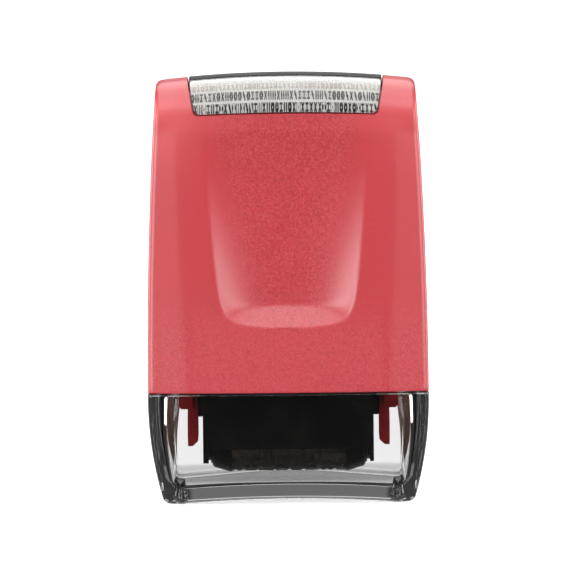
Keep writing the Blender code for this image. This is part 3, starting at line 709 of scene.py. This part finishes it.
shellSizes = {
    "faceColumns": 42,
    "cornerColumns": 30,
    "sideColumns": 18,
    "wallRows": 112,
    "arcRows": 26,
    "edgeRows": 4,
    "flatRows": 7,
    "cavityRows": 64,
    "softHalf": 1.2,  # the strip beside each crease that is smoothed
    "softPasses": 3,
}


def recessHalfWidth(z):
    share = (z - recessFoot) / recessSizes["height"]
    bow = 4 * recessSizes["bow"] * share * (1 - share)
    return mix(recessSizes["lowHalf"], recessSizes["topHalf"], share) + bow


def recessDepth(x, z):
    if not recessFoot < z < recessTop:
        return 0
    out = abs(x) / recessHalfWidth(z)
    if out >= 1:
        return 0
    sag = recessSizes["sag"] * out**2
    steep = 1 - recessSizes["ledgeShare"] * out ** recessSizes["scoop"]
    ramp = (recessSizes["ledge"] - sag) / steep
    ledge = max(1 - (z - recessFoot - sag) / ramp, 0) ** recessSizes["ledgeBend"]
    blend = recessSizes["cornerBlend"]
    closed = (out ** (recessSizes["scoop"] * blend) + ledge**blend) ** (1 / blend)
    high = ((recessTop - z) / recessSizes["height"]) ** recessSizes["rising"]
    return recessSizes["depth"] * max(1 - closed, 0) * high


def cavityDepth(z):
    rounding = bodySizes["cavityRounding"]
    taperStart = roundHeight - bodySizes["cavityTaper"]
    narrow = topFlat + rounding
    if z <= roundHeight:
        wide = halfDepth(min(z, taperStart)) - bodySizes["wall"]
        return mix(wide, narrow, max(z - taperStart, 0) / bodySizes["cavityTaper"])
    return topFlat + math.sqrt(max(rounding**2 - (z - roundHeight) ** 2, 0))


def outerRows():
    # Each row is (height, inset, how far the depth has closed towards the parting, drop)
    edge = bodySizes["edge"]
    turns = steps(shellSizes["edgeRows"], 0, math.pi / 2)
    rows = [(seam, bodySizes["wall"] / 2, 1, 0)]
    for turn in turns:
        rows.append((seam + edge * (1 - math.cos(turn)), edge * (1 - math.sin(turn)), 1, 0))
    rows += [(z, 0, 1, 0) for z in steps(shellSizes["wallRows"], seam + edge, shoulder)]
    for turn in steps(shellSizes["arcRows"], wallLean, math.pi / 2):
        rows.append((roundHeight + topRound * math.sin(turn), 0, 1, 0))
    last = (gap / 2 + edge) / topFlat
    rows += [(topHeight, 0, share, 0) for share in steps(shellSizes["flatRows"], 1, last)]
    for turn in turns:
        share = (gap / 2 + edge * (1 - math.sin(turn))) / topFlat
        rows.append((topHeight, 0, share, edge * (1 - math.cos(turn))))
    rows.append((topHeight, 0, gap / 2 / topFlat, edge))
    return rows


def innerRows():
    wall, edge = bodySizes["wall"], bodySizes["edge"]
    rounding = bodySizes["cavityRounding"]
    taperStart = roundHeight - bodySizes["cavityTaper"]
    shares = steps(6, gap / 2 / topFlat, 1)
    rows = [(roundHeight + rounding, wall, share, 0) for share in shares]
    for turn in steps(12, math.pi / 2, 0):
        rows.append((roundHeight + rounding * math.sin(turn), wall, 1, 0))
    heights = steps(8, roundHeight, taperStart)
    heights += steps(shellSizes["cavityRows"], taperStart, seam + edge)
    rows += [(z, wall, 1, 0) for z in heights]
    for turn in steps(shellSizes["edgeRows"], math.pi / 2, 0):
        inset = wall - edge * (1 - math.sin(turn))
        rows.append((seam + edge * (1 - math.cos(turn)), inset, 1, 0))
    return rows + [(seam, wall - edge, 1, 0), (seam, wall / 2, 1, 0)]


def halfStops():
    # Stops along half a section, the last of them with the turn of the parting's rounded edge
    stops = [(stop, 0) for stop in steps(shellSizes["faceColumns"])]
    stops += [(1 + stop, 0) for stop in steps(shellSizes["cornerColumns"])]
    stops += [(2 + stop, 0) for stop in steps(shellSizes["sideColumns"])]
    turns = steps(shellSizes["edgeRows"], 0, math.pi / 2) + [math.pi / 2]
    return stops + [(3, turn) for turn in turns]


def shellForm():
    edge = bodySizes["edge"]
    half = halfStops()
    stops = [(-stop, turn) for stop, turn in reversed(half[1:])] + half
    outer, inner = outerRows(), innerRows()
    rows = outer + inner

    def place(column, row):
        stop, turn = stops[column]
        z, inset, share, drop = rows[row]
        outside = row < len(outer)
        depth = None if outside else cavityDepth(z) + bodySizes["wall"] - inset
        end = -(gap / 2 + edge)
        x, y = sectionPoint(z, stop, inset, depth, end)
        if turn and outside:
            x -= math.copysign(edge * (1 - math.cos(turn)), stop)
        if turn:
            y += edge * math.sin(turn)
        if share < 1:
            y = mix(0, y, share) if abs(stop) < 3 else y
            y = min(y, -gap / 2) if row < len(outer) - 1 else -gap / 2
        if abs(stop) <= 1:
            if outside:
                y += recessDepth(x, z)
            else:
                limit = halfDepth(z) - faceCrown(z) * stop * stop
                limit -= recessDepth(x, z) + bodySizes["recessBacking"]
                y = max(y, -limit)
        return Vector((x, y, z - crownDrop(x, z) - drop))

    form = gridForm(len(stops) - 1, len(rows) - 1, place)
    soft = []
    for point in form.verts:
        z = point.co.z / mm
        if seam + 1 < z < topHeight - 1 and point.co.y / mm < -3:
            crease = halfWidth(z) - sideBand(z)
            if abs(abs(point.co.x / mm) - crease) < shellSizes["softHalf"]:
                soft.append(point)
    for _ in range(shellSizes["softPasses"]):
        bmesh.ops.smooth_vert(
            form, verts=soft, factor=0.5, use_axis_x=True, use_axis_y=True, use_axis_z=False
        )
    return closeEnds(form)


# Window, label and their notch: layers that bend over the top

windowSizes = {
    "height": topHeight - windowBottom,
    "topHalf": 14.9,
    "lowHalf": 14.0,
    "thickness": 0.6,
    "corner": 0.6,
    "sideGap": 0.25,
    "labelInset": 0.66,
    "labelThickness": 0.2,
    "labelMargin": 0.14,
    "labelRise": 0.06,
    "notchRise": 2.0,  # how far the notch's cutter stands out of the surface
    "bevel": 0.12,
    "stations": 64,
    "pathSteps": 40,
}


def pathOverTop(inset, bottom):
    # The side view of a layer this far under the surface, from its front foot over to the rear
    radius = topRound - inset
    centre = Vector((topFlat, roundHeight))
    first = max(wallLean, math.asin((bottom - roundHeight) / radius))
    foot = centre + radius * Vector((math.cos(wallLean), math.sin(wallLean)))
    straight = max(foot.y - bottom, 0) / math.cos(wallLean)
    arc = radius * (math.pi / 2 - first)
    whole = straight + arc + topFlat
    front = []
    for run in steps(windowSizes["pathSteps"], 0, whole):
        if run < straight:
            back = straight - run
            front.append((foot.x + back * math.sin(wallLean), foot.y - back * math.cos(wallLean)))
        elif run < straight + arc:
            angle = first + (run - straight) / radius
            front.append((centre.x + radius * math.cos(angle), centre.y + radius * math.sin(angle)))
        else:
            front.append((whole - run, centre.y + radius))
    return [(-y, z) for y, z in front] + [(0, roundHeight + radius)] + front[::-1]


def stripForm(outer, inner, bottom, grow=0.0):
    profile = outer + inner[::-1]
    stations = windowSizes["stations"]

    def surface(column, row):
        y, z = profile[row % len(profile)]
        share = (z - windowBottom) / windowSizes["height"]
        half = mix(windowSizes["lowHalf"], windowSizes["topHalf"], share)
        short = max(bottom + windowSizes["corner"] - z, 0)
        half += grow - short * short / windowSizes["corner"]
        x = half * (2 * column / stations - 1)
        return Vector((x, y, z - crownDrop(x, z)))

    def place(column, row):
        # The first and last column fold to the middle of the layer, which closes the ends
        inward = min(max(column - 1, 0), stations)
        point = surface(inward, row)
        if inward == column - 1:
            return point
        across = surface(inward, len(profile) - 1 - row % len(profile))
        return (point + across) / 2

    return gridForm(stations + 2, len(profile), place)


def wrapLabel(piece):
    # Printed length over the top, measured from the crown and negative in front
    layer = piece.data.uv_layers.new(name="printMap")
    radius = topRound - windowSizes["labelInset"]
    for loop in piece.data.loops:
        x, y, z = piece.data.vertices[loop.vertex_index].co / mm
        z += crownDrop(x, z)
        out = abs(y) - topFlat
        if out <= 0:
            run = abs(y)
        else:
            angle = max(math.atan2(z - roundHeight, out), wallLean)
            below = max(roundHeight + radius * math.sin(wallLean) - z, 0) / math.cos(wallLean)
            run = topFlat + radius * (math.pi / 2 - angle) + below
        layer.data[loop.index].uv = (x, math.copysign(run, y))


def cutNotch(shell):
    bottom = windowBottom - windowSizes["sideGap"]
    outer = pathOverTop(-windowSizes["notchRise"], bottom)
    inner = pathOverTop(bodySizes["seatDepth"], bottom)
    form = stripForm(outer, inner, bottom, windowSizes["sideGap"])
    bmesh.ops.recalc_face_normals(form, faces=form.faces)
    mesh = meshFrom(form, "notchTool")
    tool = addObject("notchTool", mesh)
    cut = shell.modifiers.new("notch", "BOOLEAN")
    cut.operation = "DIFFERENCE"
    cut.solver = "EXACT"
    cut.object = tool
    applyModifiers(shell)
    bpy.data.objects.remove(tool)
    bpy.data.meshes.remove(mesh)


def makeShells():
    for name, node, side in (("frontHousing", "front_shell", 1), ("rearHousing", "rear_shell", -1)):
        form = shellForm()
        bmesh.ops.scale(form, vec=(1, side, 1), verts=form.verts)
        piece = makePiece(name, form, red, "housing", (node,))
        cutNotch(piece)
        print(name, len(piece.data.polygons), "faces")


tongueSizes = {"outer": 0.5, "inner": 1.45, "half": 0.13, "low": 0.4, "high": 1.6, "steps": 40}


def makeTongues():
    # A tongue in each side's parting, so no light falls through the housing
    outer, inner, half = tongueSizes["outer"], tongueSizes["inner"], tongueSizes["half"]
    corners = ((outer, -half), (inner, -half), (inner, half), (outer, half))
    bottom, top = seam + tongueSizes["low"], topHeight - tongueSizes["high"]
    count = tongueSizes["steps"]
    for side, word in ((-1, "Left"), (1, "Right")):

        def place(column, row):
            z = mix(bottom, top, column / count)
            inset, y = corners[row % 4]
            return Vector((side * (halfWidth(z) - inset), y, z))

        form = closeEnds(gridForm(count, 4, place))
        makePiece(f"seamTongue{word}", form, red, "housing")


def makeWindow():
    sizes = windowSizes
    outer = pathOverTop(0, windowBottom)
    inner = pathOverTop(sizes["thickness"], windowBottom)
    form = stripForm(outer, inner, windowBottom)
    piece = makePiece("topWindow", form, clear, "housing", ("top_window",))
    bevel = piece.modifiers.new("edges", "BEVEL")
    bevel.width = sizes["bevel"] * mm
    bevel.segments = 3
    bevel.limit_method = "ANGLE"
    bevel.angle_limit = math.radians(50)
    applyModifiers(piece)
    bottom = windowBottom + sizes["labelRise"]
    outer = pathOverTop(sizes["labelInset"], bottom)
    inner = pathOverTop(sizes["labelInset"] + sizes["labelThickness"], bottom)
    form = stripForm(outer, inner, bottom, -sizes["labelMargin"])
    piece = makePiece("patternLabel", form, label, "housing", ("pattern_label",))
    wrapLabel(piece)


# Cap: one wall, from the middle of its underside round the rim and lip to the middle of its floor

def archLift(x, z):
    foot = halfWidth(0) - capSizes["edge"] - capSizes["footWidth"]
    return capSizes["archRise"] * max(1 - (x / foot) ** 2, 0) * max(1 - z / capSizes["archFade"], 0)


def capRows():
    # Each row is (height, inset, share of the depth, share of the arch)
    edge, wall, lip = capSizes["edge"], capSizes["wall"], capSizes["lipThickness"]
    thinning = capSizes["wallThinning"]
    quarter = math.pi / 2
    rim = seam - gap
    fine = capSizes["rimEdge"]
    rows = [(0, edge, share, 1) for share in steps(12)]
    for turn in steps(8, 0, quarter):
        rows.append((edge * (1 - math.cos(turn)), edge * (1 - math.sin(turn)), 1, 1))
    rows += [(z, 0, 1, 1) for z in steps(44, edge, rim - fine)]
    for turn in steps(4, 0, quarter):
        rows.append((rim - fine + fine * math.sin(turn), fine * (1 - math.cos(turn)), 1, 0))
    lipOuter = bodySizes["wall"] + gap
    lipTop = rim + capSizes["lipHeight"]
    rows += [(rim, fine, 1, 0), (rim, lipOuter, 1, 0), (rim + 0.1, lipOuter, 1, 0)]
    rows += [(lipTop - fine, lipOuter, 1, 0), (lipTop, lipOuter + fine / 2, 1, 0)]
    rows += [(lipTop, lipOuter + lip - fine / 2, 1, 0), (lipTop - fine, lipOuter + lip, 1, 0)]
    floorTop = capSizes["archRise"] + capSizes["floor"]
    corner = capSizes["innerCorner"]
    for z in steps(40, rim, floorTop + corner):
        rows.append((z, wall - thinning * ease((rim - z) / capSizes["thinningHeight"]), 1, 0))
    wall -= thinning
    for turn in steps(12, 0, quarter):
        low = floorTop + corner * (1 - math.sin(turn))
        rows.append((low, wall + corner * (1 - math.cos(turn)), 1, math.sin(turn)))
    rows += [(floorTop, wall + corner, share, 1) for share in steps(12, 1, 0)]
    return rows + [(floorTop, wall + corner, 0, 1)]


def makeCap():
    face, band, flank = capSizes["columns"]
    half = steps(face) + steps(band, 1, 2) + steps(flank, 2, 3)
    front = [-3] + [-stop for stop in reversed(half[1:])] + half + [3]
    stops = [(stop, 1) for stop in front] + [(stop, -1) for stop in reversed(front[:-1])]
    rows = capRows()
    floorTop = capSizes["archRise"] + capSizes["floor"]
    lipStart = rows.index((seam - gap, bodySizes["wall"] + gap, 1, 0))

    def place(column, row):
        stop, side = stops[column]
        z, inset, share, arch = rows[row]
        inner = row > lipStart
        reach = bodySizes["cornerReach"]
        if inner:
            reach = mix(capSizes["lowReach"], capSizes["innerReach"], min(z / seam, 1))
        x, y = sectionPoint(z, stop, inset, reach=reach)
        low = z - floorTop if inner else z
        return Vector((x, side * share * y, z + arch * archLift(x, low)))

    form = gridForm(len(stops) - 1, len(rows) - 1, place)
    makePiece("clearCap", form, smoke, "cap", ("cap",))


pipSizes = {"place": (16.7, -10.75, 0.8), "foot": 1.25, "top": 0.75, "height": 3.2, "edge": 0.2}


def makePips():
    # Small moulded pips in the two front feet, in far denser smoke than the cap: painted shade that
    # makes them dark
    x, y, low = pipSizes["place"]
    foot, top, height = (pipSizes[word] * mm for word in ("foot", "top", "height"))
    for side, word in ((-1, "Left"), (1, "Right")):
        form = bmesh.new()
        bmesh.ops.create_cone(
            form, segments=10, radius1=foot, radius2=top, depth=height, cap_ends=True
        )
        middle = Vector((side * x, y, low + pipSizes["height"] / 2)) * mm
        bmesh.ops.translate(form, vec=middle, verts=form.verts)
        roundEdges(form, pipSizes["edge"])
        makePiece(f"capPip{word}", form, pipShadeSmoke, "cap")


# Cartridge trim and the printing sleeve

trimSizes = {
    "rail": ((12.5, -6.0, 5.9), (13.12, 6.0, 13.6)),  # low and high corner on the right
    "lug": ((13.4, -5.0, 13.2), (13.97, 5.0, 17.2)),
    "edge": 0.12,
    "spacerStart": 11.72,
    "spacerEnd": 12.07,
    "spacerRadius": 8.1,
    "spacerBore": 2.4,
    "spacerEdge": 0.1,
    "turns": 96,
}
sleeveSizes = {
    "half": 8.78,
    "radius": 9.13,
    "relief": 0.15,
    "around": 240,
    "along": 180,
    "end": 0.05,  # how far the marks stay off the sleeve's ends
    "ring": 18,  # marks round the sleeve
    "pitch": 2.35,
}


def blockForm(low, high, edge, side):
    form = bmesh.new()
    bmesh.ops.create_cube(form, size=1)
    for point in form.verts:
        x, y, z = (mix(start, end, share + 0.5) for start, end, share in zip(low, high, point.co))
        point.co = Vector((side * x, y, z)) * mm
    return roundEdges(form, edge)


def spinForm(profile, height):
    # Turns (x, radius) points round an axis along x at this height
    form = bmesh.new()
    line = [form.verts.new(Vector((x, 0, height + radius)) * mm) for x, radius in profile]
    edges = [form.edges.new(pair) for pair in zip(line, line[1:] + line[:1])]
    bmesh.ops.spin(
        form,
        geom=line + edges,
        cent=Vector((0, 0, height)) * mm,
        axis=(1, 0, 0),
        angle=math.tau,
        steps=trimSizes["turns"],
        use_merge=True,
    )
    bmesh.ops.remove_doubles(form, verts=form.verts, dist=mergeReach * mm)
    return form


def makeTrim():
    sizes = trimSizes
    for side, word in ((-1, "Left"), (1, "Right")):
        for kind in ("rail", "lug"):
            form = blockForm(*sizes[kind], sizes["edge"], side)
            makePiece(f"case{kind.title()}{word}", form, black, "cartridge")
        start, end, edge = sizes["spacerStart"], sizes["spacerEnd"], sizes["spacerEdge"]
        bore, radius = sizes["spacerBore"], sizes["spacerRadius"]
        ring = [(start, bore), (start, radius), (end - edge, radius)]
        ring += [(end, radius - edge), (end, bore)]
        form = spinForm([(side * x, size) for x, size in ring], stampAxis)
        makePiece(f"rollerSpacer{word}", form, black, "stamp_roller")


def reliefAt(along, turn):
    # Raised made-up marks in rows round the sleeve: bricks, lozenges and split bars
    place = along / sleeveSizes["pitch"]
    row = math.floor(place)
    inRow = place - row
    cell = turn * sleeveSizes["ring"] / math.tau + (row % 2) * 0.5
    inCell = cell - math.floor(cell)
    kind = (row * 7 + math.floor(cell) * 5) % 3
    if kind == 0:
        high = 0.15 < inRow < 0.85 and abs(inCell - 0.5) < 0.36
    elif kind == 1:
        high = abs(inRow - 0.5) + abs(inCell - 0.5) < 0.52
    else:
        high = 0.12 < inRow < 0.88 and not 0.4 < inRow < 0.6
    return sleeveSizes["relief"] if high else 0.0


def makeSleeve():
    sizes = sleeveSizes
    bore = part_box("stamp_core")[1].z / mm - stampAxis
    half, count = sizes["half"], sizes["along"]

    def place(column, row):
        turn = math.tau * (column % sizes["around"]) / sizes["around"]
        if row in (0, count + 4):
            along, radius = -half if row == 0 else half, bore
        elif row in (1, count + 3):
            along, radius = -half if row == 1 else half, sizes["radius"]
        else:
            along = mix(-half + sizes["end"], half - sizes["end"], (row - 2) / count)
            radius = sizes["radius"] + reliefAt(along, turn)
        if row == count + 5:
            along, radius = -half, bore
        return Vector((along, radius * math.sin(turn), stampAxis + radius * math.cos(turn)))

    form = gridForm(sizes["around"], count + 5, place)
    makePiece("printSleeve", form, rubber, "stamp_roller", ("stamp_sleeve",), 40)


makeShells()
makeTongues()
print("housing made")
makeWindow()
print("window and label made")
makeTrim()
makeSleeve()
print("cartridge trim and sleeve made")
makeCap()
makePips()
print("cap made")


# Stage: camera, lights, floor and world

cameraSet = {
    "distance": 1500,
    "elevation": 6.0,
    "scale": 6.512,  # pixels per mm at the front, in a picture this wide
    "picture": 576,
    "aimHeight": 33.65,
    "aimSide": 0.11,
    "roll": 0.58,
    "sensor": 36,
}
lightSet = {  # size in mm, power in watts
    "top": {"place": (0, 40, 560), "size": (460, 480), "power": 1.1},
    "topBack": {"place": (0, 382, 448), "size": (480, 330), "power": 1.08},
    "topFront": {"place": (0, -370, 530), "size": (500, 240), "power": 0.7},
    "left": {"place": (-560, -670, 160), "size": (420, 620), "power": 3.6},
    "right": {"place": (560, -670, 160), "size": (420, 620), "power": 2.8},
    "rimLeft": {"place": (-860, 150, 160), "size": (420, 620), "power": 5.0},
    "rimRight": {"place": (860, 150, 160), "size": (420, 620), "power": 4.5},
}
worldSet = {
    "ambient": 0.25,
    "frontGloss": 0.02,
    "sideGloss": 0.05,
    "rearGloss": 0.18,
    "rearSheen": 0.85,
    "skyGloss": 0.38,
    "floorGlow": 0.68,
    "floorWhite": 0.82,
    "edgeLevel": 0.028,
    "edgeSky": 0.10,
    "plateLevel": 0.13,
    "plateFar": 1.0,
    "cardColour": (0.085, 0.036, 0.03),
    "cards": 8,
    "cardGap": 8.0,  # degrees on each side of the gaps between the cards
    "nearShade": 0.62,
    "nearReach": 0.028,
    # Half widths of the dark lanes, painted shade on the floor that shows only through the cap, and
    # how they widen
    "laneHalf": 0.021,
    "sideLane": 0.011,
    "cornerLane": 0.009,
    "laneSpread": 0.06,
}


def makeCamera():
    tilt = math.radians(cameraSet["elevation"])
    aim = Vector((cameraSet["aimSide"], -seamHalfDepth, cameraSet["aimHeight"])) * mm
    back = Vector((0, -math.cos(tilt), math.sin(tilt)))
    camera = addObject("camera", bpy.data.cameras.new("camera"))
    camera.location = aim + back * cameraSet["distance"] * mm
    turn = back.to_track_quat("Z", "Y").to_matrix().to_4x4()
    roll = Matrix.Rotation(math.radians(-cameraSet["roll"]), 4, "Z")
    camera.matrix_world = Matrix.Translation(camera.location) @ turn @ roll
    sensor = cameraSet["sensor"]
    camera.data.sensor_width = sensor
    camera.data.lens = cameraSet["scale"] * cameraSet["distance"] * sensor / cameraSet["picture"]
    camera.data.clip_start = 0.01
    bpy.context.scene.camera = camera


def makeLights():
    target = Vector((0, 0, 0.035))
    for name, values in lightSet.items():
        lamp = bpy.data.lights.new(name, "AREA")
        lamp.shape = "RECTANGLE"
        lamp.size, lamp.size_y = (side * mm for side in values["size"])
        lamp.energy = values["power"]
        holder = addObject(name, lamp)
        spot = Vector(values["place"]) * mm
        aim = (spot - target).to_track_quat("Z", "Y").to_matrix().to_4x4()
        holder.matrix_world = Matrix.Translation(spot) @ aim


def rayKinds(tree):
    # Masks for what is seen with nothing between, through the edge of a clear wall or mirrored
    # inside it, through whole walls, and in a plain reflection
    path = tree.node("ShaderNodeLightPath")
    passes, mirrors = path.out("Transmission Depth"), path.out("Glossy Depth")
    kinds = path.out("Is Camera Ray") + path.out("Is Transmission Ray") + path.out("Is Glossy Ray")
    seen = kinds.math("MINIMUM", 1.0) * (1 - path.out("Is Diffuse Ray"))
    bare = seen * passes.below(0.5) * mirrors.below(0.5)
    through = seen * passes.above(3.5) * mirrors.below(0.5)
    mirrored = seen * passes.below(0.5) * mirrors.above(0.5)
    return bare, seen - bare - through - mirrored, through, mirrored


def makeWorld():
    # Dark cards stand round the stamp with gaps between them, and only clear plastic shows them
    look = worldSet
    world = bpy.data.worlds.new("studio")
    bpy.context.scene.world = world
    world.use_nodes = True
    tree = Tree(world.node_tree)
    world.node_tree.nodes.clear()
    bare, edge, through, mirrored = rayKinds(tree)
    across, away, up = tree.parts(tree.place("Generated"))
    level = away.ramp(-0.6, 0.25, look["frontGloss"], look["rearGloss"])
    level = level * across.math("ABSOLUTE").ramp(0.5, 0.85, 1.0, look["sideGloss"])
    level = level + away.below(0.0, 0.3) * up.ramp(0.1, 0.65, 0.0, look["skyGloss"])
    turn = across.math("ARCTAN2", away) * (look["cards"] / math.tau)
    off = (turn - turn.math("ROUND")).math("ABSOLUTE") * (360 / look["cards"])
    cards = off.above(look["cardGap"], 2.0)
    plate = away.above(0.5) * off.below(4.0, 1.5) * up.above(0.0)
    edgeSky = up.ramp(0.15, 0.6, look["edgeLevel"], look["edgeSky"])
    edgeSky = edgeSky + plate * look["plateLevel"]
    other = 1 - bare - edge - through - mirrored
    level = bare + edge * edgeSky + through + mirrored * level + other * look["ambient"]
    colour = tree.blend(cards * through, (1, 1, 1), look["cardColour"])
    sky = tree.node("ShaderNodeBackground", {}, {"Color": colour, "Strength": level})
    end = world.node_tree.nodes.new("ShaderNodeOutputWorld")
    tree.feed(end.inputs["Surface"], sky)


def makeFloor():
    look = worldSet
    paint = Paint("studio floor", Roughness=1.0, Specular_IOR_Level=0.0, Emission_Strength=1.0)
    bare, edge, through, mirrored = rayKinds(paint)
    across, away, _ = paint.parts(paint.place())
    distance = (across * across + away * away).math("SQRT")
    p, q = across.math("ABSOLUTE"), away.math("ABSOLUTE")
    spread = distance * look["laneSpread"]
    front = (p - spread).below(look["laneHalf"], 0.002)
    side = (q - spread).below(look["sideLane"], 0.002)
    corner = ((p - q).math("ABSOLUTE") * 0.7071).below(look["cornerLane"], 0.002)
    lane = front.math("MAXIMUM", side).math("MAXIMUM", corner)
    beside = (p - seamHalfWidth * mm).math("MAXIMUM", 0.0)
    behind = (q - seamHalfDepth * mm).math("MAXIMUM", 0.0)
    near = (beside * beside + behind * behind).math("SQRT")
    shade = near.ramp(0.0, look["nearReach"], look["nearShade"], 1.0)
    # Seen through the edge of a clear wall, the floor glows at a painted level, lighter in a patch
    # just behind the stamp
    plate = p.below(0.0196, 0.001) * away.above(0.0) * near.below(0.052, 0.008)
    wall = look["edgeLevel"] + plate * near.ramp(0.0, 0.03, 0.2, look["plateFar"])
    # Seen through the cap, the floor is painted: a painted shadow darker near the stamp, and
    # painted shade in the cards' colour set by the lanes
    shown = paint.blend(shade, (0, 0, 0), (1, 1, 1))
    shown = paint.blend(lane, look["cardColour"], shown)
    sheen = away.ramp(-0.05, 0.03, look["frontGloss"], look["rearSheen"])
    glow = bare * distance.ramp(0.12, 0.6, look["floorGlow"], 1.0)
    glow = paint.grey(glow + edge * wall + mirrored * sheen)
    base = paint.grey((1 - mirrored - edge - through) * look["floorWhite"])
    paint.set(Base_Color=base, Emission_Color=paint.blend(through, glow, shown))
    form = bmesh.new()
    bmesh.ops.create_grid(form, x_segments=1, y_segments=1, size=1.5)
    mesh = meshFrom(form, "floor")
    mesh.materials.append(paint.material)
    floor = addObject("floor", mesh)


bpy.context.scene.view_settings.view_transform = "Standard"
makeCamera()
makeLights()
makeWorld()
makeFloor()
print("stage made")
